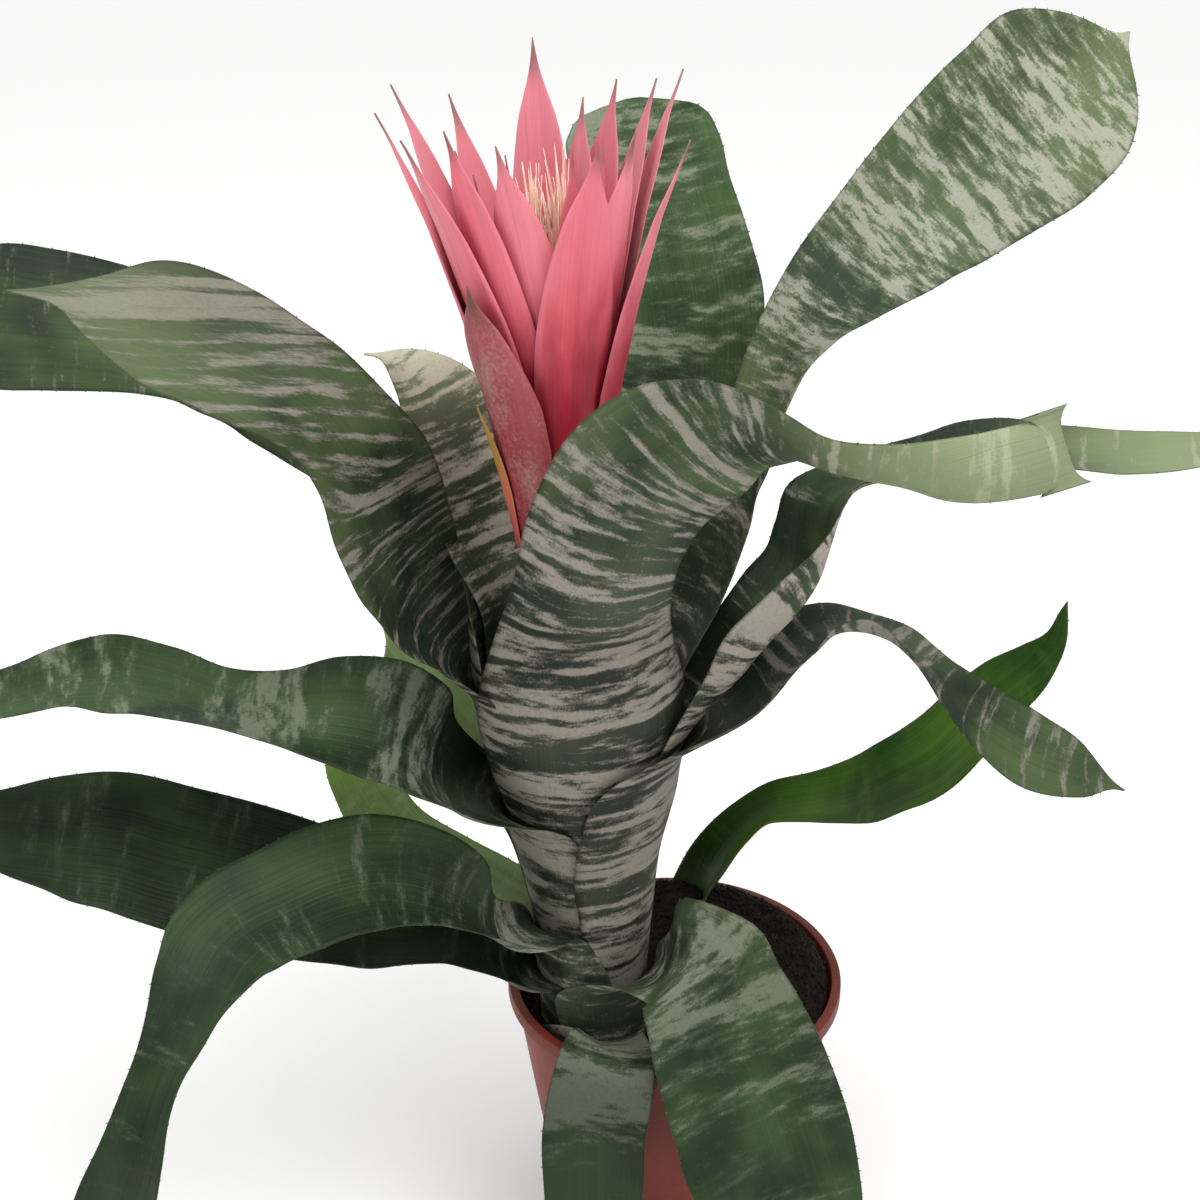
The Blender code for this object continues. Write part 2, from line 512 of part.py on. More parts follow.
def build_bract(name, bract, colour, plant):
    level, azimuth, drift, tip, width, flare = bract
    foot = BRACT_HEIGHTS[0]
    rows = []
    for share in np.linspace(0, 1, BRACT_STATIONS + 1):
        height = mix(foot, tip * MM, share)
        radius = cone_radius(height, level) + flare * MM * share ** 4
        narrowing = max(share - BRACT_TAPER_START, 0) / (1 - BRACT_TAPER_START)
        full = min(1, BRACT_FOOT_WIDTH + BRACT_SWELL * share) * (1 - narrowing ** 2) + BRACT_TIP_WIDTH
        half = full * width * MM / 2 / radius
        middle = math.radians(azimuth + drift * share ** 2)
        turns = middle + half * np.linspace(-1, 1, BRACT_COLUMNS + 1)
        rows.append([(radius * math.cos(t), radius * math.sin(t), height) for t in turns])
    mesh = thin_solid(name, rows, BRACT_THICKNESS)
    add_object(name, mesh, colour, 0.45, plant)


def build_flower(plant):
    for k, bract in enumerate(BRACTS):
        build_bract("bract_%02d" % (k + 1), bract, PINK, plant)
    for name, (*bract, colour) in SCAPE_BRACTS.items():
        build_bract(name, bract, colour, plant)
    for k, length in enumerate(FLORET_LENGTHS):
        profile = [(0, 0)] + [(FLORET_RADIUS * r, length * h) for r, h in FLORET_PROFILE] + [(0, length)]
        mesh = turned("floret", profile, FLORET_SEGMENTS)
        floret = add_object("floret_%d" % (k + 1), mesh, PEACH, 0.5, plant)
        angle = 2 * math.pi * k / len(FLORET_LENGTHS)
        floret.location = (FLORET_RING * math.cos(angle), FLORET_RING * math.sin(angle), FLORET_FOOT)


def main():
    for old in list(bpy.data.objects):
        bpy.data.objects.remove(old)
    build_pot()
    soil = build_soil()
    plant = bpy.data.objects.new("plant_frame", None)
    bpy.context.scene.collection.objects.link(plant)
    plant.location = (FOOT[0], FOOT[1], foot_height())
    plant.rotation_euler = (0, -LEAN, 0)
    build_stem(plant)
    buried = STEM_BURIED + GAP
    pit = turned("pit", [(0, -buried), (STEM_RADIUS + GAP, -buried), (STEM_RADIUS + GAP, buried),
                         (0, buried)], STEM_SEGMENTS)
    pit_cutter = add_object("pit_cutter", pit, SOIL_BLACK, 0.9, plant)
    cut(soil, pit_cutter)
    build_leaves(plant)
    build_flower(plant)


main()
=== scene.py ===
import math

import bmesh
import bpy
import numpy as np
from mathutils import Matrix, Vector, noise


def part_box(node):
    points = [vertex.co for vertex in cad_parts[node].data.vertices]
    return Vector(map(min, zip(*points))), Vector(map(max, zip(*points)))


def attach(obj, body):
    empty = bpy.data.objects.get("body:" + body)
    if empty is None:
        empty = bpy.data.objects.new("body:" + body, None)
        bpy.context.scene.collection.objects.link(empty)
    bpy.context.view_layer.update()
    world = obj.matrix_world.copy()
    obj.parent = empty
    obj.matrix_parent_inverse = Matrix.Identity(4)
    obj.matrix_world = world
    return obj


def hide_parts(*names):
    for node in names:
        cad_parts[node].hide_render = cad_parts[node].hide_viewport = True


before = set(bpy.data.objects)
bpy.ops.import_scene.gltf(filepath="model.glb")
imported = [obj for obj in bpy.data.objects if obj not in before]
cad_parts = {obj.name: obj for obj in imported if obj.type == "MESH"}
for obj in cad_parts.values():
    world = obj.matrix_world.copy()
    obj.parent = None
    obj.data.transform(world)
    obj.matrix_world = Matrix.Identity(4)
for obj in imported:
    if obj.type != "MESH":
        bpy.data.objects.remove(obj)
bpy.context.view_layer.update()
mm = 0.001

# everything is placed from the pot: its rim, its height and the soil inside it
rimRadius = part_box("pot")[1].x
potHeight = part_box("pot")[1].z
plant = {
    "foot": (-0.46 * rimRadius, -0.185 * rimRadius),
    "lean": 3.2,  # degrees towards -X
    "soilDepth": 8 * mm,  # below the rim
}
footHeight = potHeight - plant["soilDepth"]
plantPlace = Matrix.Translation((*plant["foot"], footHeight)) @ Matrix.Rotation(
    -math.radians(plant["lean"]), 4, "Y")
plantTurn = np.array(plantPlace.to_3x3())
plantShift = np.array(plantPlace.translation)


def toWorld(points):
    return np.asarray(points) @ plantTurn.T + plantShift


def mix(a, b, share):
    return a + (b - a) * share


def smooth(value):
    value = min(max(value, 0.0), 1.0)
    return value * value * (3 - 2 * value)


def paint(red, green, blue):  # a colour as seen, 0 to 255, as linear light
    return tuple(((c / 255 + 0.055) / 1.055) ** 2.4 if c > 10 else c / 3295 for c in (red, green, blue))


# small helpers that add nodes and join them

def put(tree, kind, **settings):
    node = tree.nodes.new(kind)
    for name, value in settings.items():
        setattr(node, name, value)
    return node


def feed(tree, socket, value):  # a link from another socket, or a plain value
    if isinstance(value, bpy.types.NodeSocket):
        tree.links.new(value, socket)
    elif hasattr(value, "__len__") and len(value) == 3 and socket.type == "RGBA":
        socket.default_value = (*value, 1)
    else:
        socket.default_value = value


def fill(tree, kind, inputs, **settings):  # a node with its inputs given by name
    node = put(tree, kind, **settings)
    for name, value in inputs.items():
        feed(tree, node.inputs[name], value)
    return node.outputs


def calc(tree, operation, a, b=0.0, c=0.0, clamp=False):
    node = put(tree, "ShaderNodeMath", operation=operation, use_clamp=clamp)
    for socket, value in zip(node.inputs, (a, b, c)):
        feed(tree, socket, value)
    return node.outputs[0]


def plus(tree, a, b):
    return calc(tree, "ADD", a, b)


def times(tree, a, b, clamp=False):
    return calc(tree, "MULTIPLY", a, b, clamp=clamp)


def timesPlus(tree, a, b, c):
    return calc(tree, "MULTIPLY_ADD", a, b, c)


def about(tree, value, spread, middle=0.0):  # a 0 to 1 pattern turned into a swing about the middle
    return timesPlus(tree, calc(tree, "SUBTRACT", value, 0.5), spread, middle)


def between(tree, value, low, high):  # a soft step from low to high
    limits = {"Value": value, "From Min": low, "From Max": high}
    return fill(tree, "ShaderNodeMapRange", limits, interpolation_type="SMOOTHSTEP")[0]


def nearMargin(tree, side, start):  # 0 in the middle of a leaf, 1 at both margins
    return between(tree, calc(tree, "ABSOLUTE", timesPlus(tree, side, 2.0, -1.0)), start, 1.0)


def blendColours(tree, share, a, b, how="MIX"):
    node = put(tree, "ShaderNodeMix", data_type="RGBA", blend_type=how)
    colours = [s for s in node.inputs if s.type == "RGBA"]
    feed(tree, node.inputs[0], share)
    feed(tree, colours[0], a)
    feed(tree, colours[1], b)
    return next(s for s in node.outputs if s.type == "RGBA")


def tint(tree, colour, share, seen):  # towards a colour given as seen, 0 to 255
    return blendColours(tree, share, colour, paint(*seen))


def place3(tree, x, y, z=0.0):
    node = put(tree, "ShaderNodeCombineXYZ")
    for socket, value in zip(node.inputs, (x, y, z)):
        feed(tree, socket, value)
    return node.outputs[0]


def shaded(tree, colour, factor):
    return blendColours(tree, 1.0, colour, place3(tree, factor, factor, factor), "MULTIPLY")


def cloud(tree, vector, scale=1.0, detail=2.0, rough=0.5):
    return fill(tree, "ShaderNodeTexNoise", {"Vector": vector, "Scale": scale, "Detail": detail,
                                             "Roughness": rough})[0]


def stretched(tree, across, along, depth, wide, long, detail, rough=0.5):
    # a cloud with its own scale across and along a leaf
    place = place3(tree, times(tree, across, wide), times(tree, along, long), depth)
    return cloud(tree, place, 1.0, detail, rough)


def startGroup(name, inputs, outputs):
    tree = bpy.data.node_groups.new(name, "ShaderNodeTree")
    for label, start in inputs.items():
        socket = tree.interface.new_socket(name=label, in_out="INPUT", socket_type="NodeSocketFloat")
        socket.default_value = start
    for label in outputs:
        tree.interface.new_socket(name=label, in_out="OUTPUT", socket_type="NodeSocketFloat")
    return tree, put(tree, "NodeGroupInput").outputs, put(tree, "NodeGroupOutput").inputs


def useGroup(tree, group, **values):
    return fill(tree, "ShaderNodeGroup", values, node_tree=group)


def makeCrossBands():
    # ragged bars across a leaf: thick and thin, broken up along the veins
    tree, given, results = startGroup("crossBands", {
        "Across": 0.0, "Along": 0.0, "Spacing": 0.009, "Waviness": 0.004, "Raggedness": 0.3,
        "Coverage": 0.5, "Softness": 0.05, "Regularity": 0.08, "Seed": 0.0}, ["Mask", "Core"])
    across, along, seed = given["Across"], given["Along"], given["Seed"]
    sway = stretched(tree, across, along, seed, wide=34.0, long=14.0, detail=2.0)
    rows = calc(tree, "DIVIDE", about(tree, sway, given["Waviness"], along), given["Spacing"])
    fine = stretched(tree, across, rows, seed, wide=24.0, long=1.0, detail=3.5, rough=0.62)
    broad = stretched(tree, across, rows, plus(tree, seed, 5.0), wide=12.0, long=0.3, detail=2.0)
    bars = timesPlus(tree, fine, 0.62, timesPlus(tree, broad, 0.58, -0.1))
    # some bars keep an even distance from each other
    warp = stretched(tree, across, rows, plus(tree, seed, 9.0), wide=15.0, long=0.42, detail=3.0)
    turns = timesPlus(tree, warp, 2.2, times(tree, rows, 0.62))
    lines = calc(tree, "SINE", times(tree, turns, 2 * math.pi))
    bars = timesPlus(tree, lines, given["Regularity"], bars)
    # and their edges are frayed
    specks = stretched(tree, across, along, plus(tree, seed, 3.0), wide=1500.0, long=900.0, detail=2.0)
    blots = stretched(tree, across, along, plus(tree, seed, 7.0), wide=110.0, long=330.0, detail=4.0,
                      rough=0.62)
    broken = about(tree, specks, 0.3, about(tree, blots, 1.0))
    value = timesPlus(tree, broken, given["Raggedness"], bars)
    middle = timesPlus(tree, given["Coverage"], -0.34, 0.67)
    start = calc(tree, "SUBTRACT", middle, given["Softness"])
    feed(tree, results["Mask"], between(tree, value, start, plus(tree, middle, given["Softness"])))
    feed(tree, results["Core"], between(tree, value, middle, plus(tree, middle, 0.12)))
    return tree


def makeVeinLines():
    # fine parallel veins along a leaf or a bract
    tree, given, results = startGroup("veinLines", {
        "Across": 0.0, "Along": 0.0, "Spacing": 0.0008, "Seed": 0.0}, ["Lines", "Folds"])
    across, along, seed = given["Across"], given["Along"], given["Seed"]
    veins = calc(tree, "DIVIDE", across, given["Spacing"])
    feed(tree, results["Lines"], stretched(tree, veins, along, seed, wide=1.0, long=9.0, detail=1.0))
    feed(tree, results["Folds"], stretched(tree, across, along, seed, wide=170.0, long=5.0, detail=3.0))
    return tree


def makeFineGrain():
    # small mottling on any surface, from the object's own coordinates
    tree, given, results = startGroup("fineGrain", {"Size": 0.001, "Seed": 0.0}, ["Grain", "Specks"])
    moved = put(tree, "ShaderNodeVectorMath", operation="ADD")
    feed(tree, moved.inputs[0], objectPlace(tree))
    feed(tree, moved.inputs[1], place3(tree, given["Seed"], given["Seed"], given["Seed"]))
    scale = calc(tree, "DIVIDE", 1.0, given["Size"])
    dots = fill(tree, "ShaderNodeTexVoronoi", {"Vector": moved.outputs[0],
                                               "Scale": times(tree, scale, 0.35)})
    feed(tree, results["Grain"], cloud(tree, moved.outputs[0], scale, 4.0, 0.6))
    feed(tree, results["Specks"], between(tree, dots["Distance"], 0.16, 0.05))
    return tree


def objectPlace(tree):
    return put(tree, "ShaderNodeTexCoord").outputs["Object"]


def heightUp(tree):  # metres above the floor
    return fill(tree, "ShaderNodeSeparateXYZ", {0: objectPlace(tree)})[2]


crossBands = makeCrossBands()
veinLines = makeVeinLines()
fineGrain = makeFineGrain()


def startMaterial(name):
    made = bpy.data.materials.new(name)
    made.use_nodes = True
    return made, made.node_tree, made.node_tree.nodes["Principled BSDF"]


def finishSkin(tree, shader, colour, rough, specular=0.5, glow=None, lift=None, depth=0.0, strength=1.0):
    # lift is a pattern of bumps, glow the share of light that the tissue takes in and how far it goes
    feed(tree, shader.inputs["Base Color"], colour)
    feed(tree, shader.inputs["Roughness"], rough)
    feed(tree, shader.inputs["Specular IOR Level"], specular)
    if glow is not None:
        share, reach = glow
        feed(tree, shader.inputs["Subsurface Weight"], share)
        feed(tree, shader.inputs["Subsurface Radius"], reach)
    if lift is not None:
        bump = fill(tree, "ShaderNodeBump", {"Strength": strength, "Distance": depth, "Height": lift})
        tree.links.new(bump["Normal"], shader.inputs["Normal"])


def readMap(tree, name):
    place = put(tree, "ShaderNodeUVMap", uv_map=name).outputs[0]
    split = fill(tree, "ShaderNodeSeparateXYZ", {0: place})
    return split[0], split[1]


def readMark(tree, name):
    return put(tree, "ShaderNodeAttribute", attribute_name=name).outputs["Fac"]


leafLooks = {
    # green and deep: the blade's two greens. silver and shade: the scurf's two greys
    "silverSkin": dict(green=(66, 88, 46), deep=(32, 44, 32), silver=(156, 150, 138), shade=(108, 106, 96),
                       pale=(156, 168, 128), spacing=0.0044, waviness=0.006, ragged=0.5, softness=0.06,
                       regular=0.06, rough=0.5, seed=2.0),
    "mottledSkin": dict(green=(74, 92, 56), deep=(46, 62, 42), silver=(156, 157, 142), shade=(112, 120, 98),
                        pale=(140, 146, 70), spacing=0.0065, waviness=0.010, ragged=0.7, softness=0.12,
                        regular=0.03, rough=0.5, seed=11.0),
    "greenSkin": dict(green=(48, 72, 34), deep=(26, 42, 24), silver=(112, 120, 100), shade=(76, 90, 66),
                      pale=(100, 118, 66), spacing=0.0075, waviness=0.009, ragged=0.5, softness=0.11,
                      regular=0.04, rough=0.42, seed=23.0),
    "paleSkin": dict(green=(144, 170, 112), deep=(112, 140, 80), silver=(176, 190, 156),
                     shade=(148, 168, 124), pale=(120, 162, 54), spacing=0.010, waviness=0.008, ragged=0.5,
                     softness=0.12, regular=0.0, rough=0.45, seed=31.0),
    "youngSkin": dict(green=(68, 104, 26), deep=(38, 68, 18), silver=(96, 128, 50), shade=(84, 118, 40),
                      pale=(84, 120, 34), spacing=0.012, waviness=0.008, ragged=0.4, softness=0.12,
                      regular=0.0, rough=0.38, seed=43.0),
}


def makeLeafSkin(name, look):
    made, tree, shader = startMaterial(name)
    across, along = readMap(tree, "leafMap")
    side, reach = readMap(tree, "shareMap")
    seed = timesPlus(tree, readMark(tree, "leafSeed"), 40.0, look["seed"])
    scurf = readMark(tree, "silver")
    sheath = readMark(tree, "sheathShare")
    bands = useGroup(tree, crossBands, Across=across, Along=readMark(tree, "barRun"), Seed=seed,
                     Coverage=timesPlus(tree, scurf, 0.74, -0.02), Spacing=look["spacing"],
                     Waviness=look["waviness"], Raggedness=look["ragged"], Softness=look["softness"],
                     Regularity=look["regular"])
    veins = useGroup(tree, veinLines, Across=across, Along=along, Spacing=0.0008, Seed=seed)
    grain = useGroup(tree, fineGrain, Size=0.0012, Seed=0.3)
    patches = stretched(tree, across, along, seed, wide=30.0, long=22.0, detail=3.0)
    # greens: patchy, darker in the vase, streaked by the veins
    greens = tint(tree, paint(*look["deep"]), between(tree, patches, 0.35, 0.68), look["green"])
    greens = tint(tree, greens, times(tree, sheath, 0.85), (32, 38, 30))
    streaks = timesPlus(tree, veins["Lines"], 0.5, times(tree, veins["Folds"], 0.5))
    greens = shaded(tree, greens, about(tree, streaks, 1.1, 1.0))
    # scurf: ragged silver bars with worn middles, and a thin haze between them
    silvers = tint(tree, paint(*look["shade"]), bands["Core"], look["silver"])
    # painted shade: the silver in the vase is a darker copy of the blade's
    vaseSilversInPaintedShade = tint(tree, paint(92, 88, 79), bands["Core"], (146, 138, 126))
    silvers = blendColours(tree, times(tree, sheath, 0.7), silvers, vaseSilversInPaintedShade)
    worn = between(tree, grain["Grain"], 0.36, 0.56)
    haze = times(tree, between(tree, patches, 0.42, 0.75), times(tree, scurf, 0.3))
    bars = times(tree, bands["Mask"], timesPlus(tree, worn, 0.14, 0.86))
    bars = times(tree, bars, timesPlus(tree, scurf, 0.62, 0.38))
    cover = calc(tree, "MAXIMUM", bars, haze, clamp=True)
    colour = blendColours(tree, cover, greens, silvers)
    dots = times(tree, grain["Specks"], times(tree, scurf, 0.3))
    colour = tint(tree, colour, dots, look["silver"])
    tip = times(tree, between(tree, reach, 0.72, 0.95), readMark(tree, "paleTip"))
    colour = tint(tree, colour, tip, look["pale"])
    colour = tint(tree, colour, times(tree, nearMargin(tree, side, 0.965), 0.45), (52, 62, 34))
    # painted shade and painted light: each leaf's colour is multiplied by a factor of its own, and its
    # sheath's by another; below 1 paints shade on low leaves, above 1 paints light on leaves in shadow
    colour = shaded(tree, colour, readMark(tree, "tone"))
    rough = timesPlus(tree, grain["Grain"], 0.08, timesPlus(tree, cover, 0.3, look["rough"]))
    lift = timesPlus(tree, cover, 0.35, times(tree, streaks, 1.3))
    lift = timesPlus(tree, grain["Grain"], 0.25, lift)
    finishSkin(tree, shader, colour, rough, specular=0.16, lift=lift, depth=0.00045, strength=0.8)
    return made


leafSkins = {name: makeLeafSkin(name, look) for name, look in leafLooks.items()}

bractLooks = {
    "pinkBract": dict(foot=(156, 28, 46), body=(214, 80, 94), light=(228, 142, 154), tip=(96, 76, 66),
                      footFrom=0.3, footTo=0.74, tipFrom=0.9, scurf=0.0),
    "redBract": dict(foot=(150, 50, 62), body=(150, 56, 64), light=(178, 92, 96), tip=(88, 70, 54),
                     footFrom=0.05, footTo=0.5, tipFrom=0.8, scurf=0.5),
    "orangeBract": dict(foot=(196, 84, 84), body=(206, 110, 84), light=(212, 150, 96), tip=(160, 130, 62),
                        footFrom=0.05, footTo=0.5, tipFrom=0.4, scurf=0.15),
}


def makeBractSkin(name, look):
    made, tree, shader = startMaterial(name)
    across, along = readMap(tree, "leafMap")
    side, reach = readMap(tree, "shareMap")
    tone = readMark(tree, "leafSeed")
    inside = readMark(tree, "inside")
    veins = useGroup(tree, veinLines, Across=across, Along=along, Spacing=0.0007,
                     Seed=times(tree, tone, 17.0))
    grain = useGroup(tree, fineGrain, Size=0.0014, Seed=0.7)
    blots = stretched(tree, across, along, times(tree, tone, 31.0), wide=90.0, long=38.0, detail=3.0)
    # redder at the foot, lighter upwards and on the inside
    risen = about(tree, blots, -0.5, reach)
    body = between(tree, risen, look["footFrom"], look["footTo"])
    colour = tint(tree, paint(*look["foot"]), body, look["body"])
    lit = timesPlus(tree, inside, 0.2, times(tree, tone, 0.35))
    lit = timesPlus(tree, between(tree, risen, 0.4, 0.9), 0.35, lit)
    lit = times(tree, lit, between(tree, risen, 0.35, 0.8), clamp=True)
    colour = tint(tree, colour, lit, look["light"])
    lines = about(tree, veins["Folds"], 0.3, about(tree, veins["Lines"], 0.28, 1.0))
    colour = shaded(tree, colour, lines)
    # painted highlight: the margins tinted towards the light pink
    colour = tint(tree, colour, times(tree, nearMargin(tree, side, 0.8), 0.3), look["light"])
    # painted shade: the inner face made a fifth darker
    colour = shaded(tree, colour, timesPlus(tree, inside, -0.2, 1.0))
    # pale scurf, and a dry tip
    dust = timesPlus(tree, grain["Grain"], 0.5, times(tree, blots, 0.5))
    dusted = times(tree, between(tree, dust, 0.42, 0.7), look["scurf"])
    colour = tint(tree, colour, dusted, (190, 170, 158))
    tip = between(tree, about(tree, veins["Folds"], 0.12, reach), look["tipFrom"],
                  min(look["tipFrom"] + 0.3, 1.0))
    colour = tint(tree, colour, times(tree, tip, 0.85), look["tip"])
    rough = timesPlus(tree, grain["Grain"], 0.12, 0.42)
    lift = timesPlus(tree, veins["Folds"], 1.4, veins["Lines"])
    finishSkin(tree, shader, colour, rough, specular=0.4, glow=(0.12, (0.004, 0.0015, 0.0015)),
               lift=lift, depth=0.0002, strength=0.6)
    return made


bractSkins = {name: makeBractSkin(name, look) for name, look in bractLooks.items()}


potLook = {
    "deep": (99, 33, 17),
    "red": (116, 45, 26),
    "soil": (60, 38, 30),
    "chalk": (150, 84, 62),
    "specks": (120, 60, 46),
    "smearHeight": 0.02,  # above the foot
    "smearDepth": 0.012,  # below the rim
    "mouldLines": 0.0011,  # from one to the next
}


def makePotPlastic():
    made, tree, shader = startMaterial("potPlastic")
    grain = useGroup(tree, fineGrain, Size=0.0011, Seed=0.0)
    height = heightUp(tree)
    patches = cloud(tree, objectPlace(tree), 28.0, 4.0)
    colour = tint(tree, paint(*potLook["deep"]), between(tree, patches, 0.3, 0.7), potLook["red"])
    # soil smeared about the foot and the rim
    soilLine = about(tree, patches, potLook["smearDepth"], height)
    smear = times(tree, between(tree, grain["Grain"], 0.46, 0.6), 0.4)
    low = times(tree, between(tree, soilLine, potLook["smearHeight"], 0.0), smear)
    high = times(tree, between(tree, soilLine, potHeight - potLook["smearDepth"], potHeight), smear)
    colour = tint(tree, colour, calc(tree, "MAXIMUM", low, high), potLook["soil"])
    colour = tint(tree, colour, times(tree, between(tree, patches, 0.55, 0.8), 0.2), potLook["chalk"])
    colour = tint(tree, colour, times(tree, grain["Specks"], 0.25), potLook["specks"])
    rough = timesPlus(tree, grain["Grain"], 0.25, 0.4)
    mouldLines = calc(tree, "SINE", times(tree, height, 2 * math.pi / potLook["mouldLines"]))
    lift = timesPlus(tree, mouldLines, 0.12, grain["Grain"])
    finishSkin(tree, shader, colour, rough, specular=0.25, lift=lift, depth=0.00012, strength=0.7)
    return made


soilLooks = {
    "soilBed": dict(dark=(18, 14, 13), light=(36, 28, 24), grain=0.0011),
    "soilCrumb": dict(dark=(17, 13, 12), light=(46, 36, 30), grain=0.0006),
}


def makeSoilSkin(name):
    made, tree, shader = startMaterial(name)
    look = soilLooks[name]
    grain = useGroup(tree, fineGrain, Size=look["grain"], Seed=0.1)
    patches = cloud(tree, objectPlace(tree), 90.0, 5.0, 0.65)
    colour = tint(tree, paint(*look["dark"]), between(tree, patches, 0.3, 0.72), look["light"])
    colour = tint(tree, colour, times(tree, grain["Specks"], 0.35), (74, 56, 44))
    rough = timesPlus(tree, grain["Grain"], 0.3, 0.65)
    finishSkin(tree, shader, colour, rough, specular=0.12, lift=plus(tree, grain["Grain"], patches),
               depth=0.0008, strength=0.9)
    return made


stemLook = {
    "green": (126, 142, 92),
    "pink": (206, 120, 118),
    "down": (214, 208, 192),
    "pinkFrom": 0.11,  # above the plant's foot
    "pinkTo": 0.2,
}


def makeStemSkin():
    made, tree, shader = startMaterial("stemSkin")
    grain = useGroup(tree, fineGrain, Size=0.0014, Seed=0.2)
    rising = between(tree, heightUp(tree), footHeight + stemLook["pinkFrom"],
                     footHeight + stemLook["pinkTo"])
    colour = tint(tree, paint(*stemLook["green"]), rising, stemLook["pink"])
    down = between(tree, grain["Grain"], 0.42, 0.6)
    colour = tint(tree, colour, times(tree, down, 0.6), stemLook["down"])
    finishSkin(tree, shader, colour, timesPlus(tree, down, 0.25, 0.6), lift=grain["Grain"],
               depth=0.0004, strength=0.8)
    return made


floretLook = {"foot": (238, 146, 124), "middle": (252, 206, 178), "tip": (255, 232, 212)}


def makeFloretSkin():
    made, tree, shader = startMaterial("floretSkin")
    across, along = readMap(tree, "leafMap")
    reach = readMap(tree, "shareMap")[1]
    veins = useGroup(tree, veinLines, Across=across, Along=along, Spacing=0.0006,
                     Seed=times(tree, readMark(tree, "leafSeed"), 9.0))
    colour = tint(tree, paint(*floretLook["foot"]), between(tree, reach, 0.1, 0.6), floretLook["middle"])
    colour = tint(tree, colour, between(tree, reach, 0.72, 1.0), floretLook["tip"])
    colour = shaded(tree, colour, about(tree, veins["Lines"], 0.25, 1.0))
    finishSkin(tree, shader, colour, timesPlus(tree, veins["Lines"], 0.15, 0.4),
               glow=(0.15, (0.004, 0.002, 0.0015)), lift=veins["Folds"], depth=0.0003, strength=0.5)
    return made


thornLook = {"dark": (34, 26, 20), "light": (92, 74, 48)}


def makeThornSkin():
    made, tree, shader = startMaterial("thornSkin")
    grain = useGroup(tree, fineGrain, Size=0.0006, Seed=0.4)["Grain"]
    colour = tint(tree, paint(*thornLook["dark"]), between(tree, grain, 0.35, 0.65), thornLook["light"])
    finishSkin(tree, shader, colour, timesPlus(tree, grain, 0.2, 0.4))
    return made


print("materials made")


# helpers that make meshes and pieces

def addObject(name, data):
    made = bpy.data.objects.new(name, data)
    bpy.context.scene.collection.objects.link(made)
    return made


def addPiece(name, points, faces, skin):
    mesh = bpy.data.meshes.new(name)
    mesh.from_pydata([tuple(p) for p in points], [], faces)
    mesh.materials.append(skin)
    mesh.shade_smooth()
    return addObject(name, mesh)


def facesOut(piece):
    shell = bmesh.new()
    shell.from_mesh(piece.data)
    bmesh.ops.recalc_face_normals(shell, faces=shell.faces)
    shell.to_mesh(piece.data)
    shell.free()


def standFor(piece, node):
    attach(piece, "root")
    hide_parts(node)


def outAndSide(angle):  # the level way out from an axis at this angle, and the way across it
    out = np.array([math.cos(angle), math.sin(angle), 0])
    return out, np.array([-out[1], out[0], 0])


def addMap(mesh, name, values):  # a UV map from one value for each vertex
    corners = np.zeros(len(mesh.loops), int)
    mesh.loops.foreach_get("vertex_index", corners)
    mesh.uv_layers.new(name=name).uv.foreach_set("vector", values[corners].astype(np.float32).ravel())


def addMark(mesh, name, values):
    made = mesh.attributes.new(name, "FLOAT", "POINT")
    made.data.foreach_set("value", np.asarray(values, np.float32))


def refine(rows, step):
    # smooth rows through the given ones, about a step apart, and where each lies between them
    rows = np.asarray(rows)
    middle = rows[:, rows.shape[1] // 2]
    runs = np.linalg.norm(np.diff(middle, axis=0), axis=1)
    knots = np.concatenate([[0], np.cumsum(runs)])
    slopes = np.gradient(rows, knots, axis=0)
    wanted = np.linspace(0, knots[-1], max(int(knots[-1] / step), 8) + 1)
    part = np.clip(np.searchsorted(knots, wanted, side="right") - 1, 0, len(knots) - 2)
    span = (knots[part + 1] - knots[part])[:, None, None]
    t = ((wanted - knots[part])[:, None, None]) / span
    first = (2 * t ** 3 - 3 * t ** 2 + 1) * rows[part] + (t ** 3 - 2 * t ** 2 + t) * span * slopes[part]
    second = (3 * t ** 2 - 2 * t ** 3) * rows[part + 1] + (t ** 3 - t ** 2) * span * slopes[part + 1]
    return first + second, wanted, part + t[:, 0, 0]


def gridNormals(grid):
    normal = np.cross(np.gradient(grid, axis=1), np.gradient(grid, axis=0))
    length = np.linalg.norm(normal, axis=2)[..., None]
    return normal / np.maximum(length, 1e-12)


def thinShell(name, grid, thickness, thinning, skin):
    # a closed thin body about a grid of middle points, its outward side first
    stations, columns = grid.shape[:2]
    spread = np.linspace(-1, 1, columns)
    half = thickness / 2 * (1 - thinning * spread ** 4)
    normal = gridNormals(grid)
    outer = grid + normal * half[None, :, None]
    inner = grid - normal * half[None, :, None]
    points = np.concatenate([outer.reshape(-1, 3), inner.reshape(-1, 3)])
    count = stations * columns
    faces = []
    for i in range(stations - 1):
        for j in range(columns - 1):
            a = i * columns + j
            faces.append((a, a + 1, a + 1 + columns, a + columns))
            faces.append((a + count, a + columns + count, a + 1 + columns + count, a + 1 + count))
    rim = [(0, j) for j in range(columns)]
    rim += [(i, columns - 1) for i in range(1, stations)]
    rim += [(stations - 1, j) for j in range(columns - 2, -1, -1)]
    rim += [(i, 0) for i in range(stations - 2, 0, -1)]
    loop = [i * columns + j for i, j in rim]
    for a, b in zip(loop, loop[1:] + loop[:1]):
        faces.append((a, a + count, b + count, b))
    return addPiece(name, points, faces, skin)


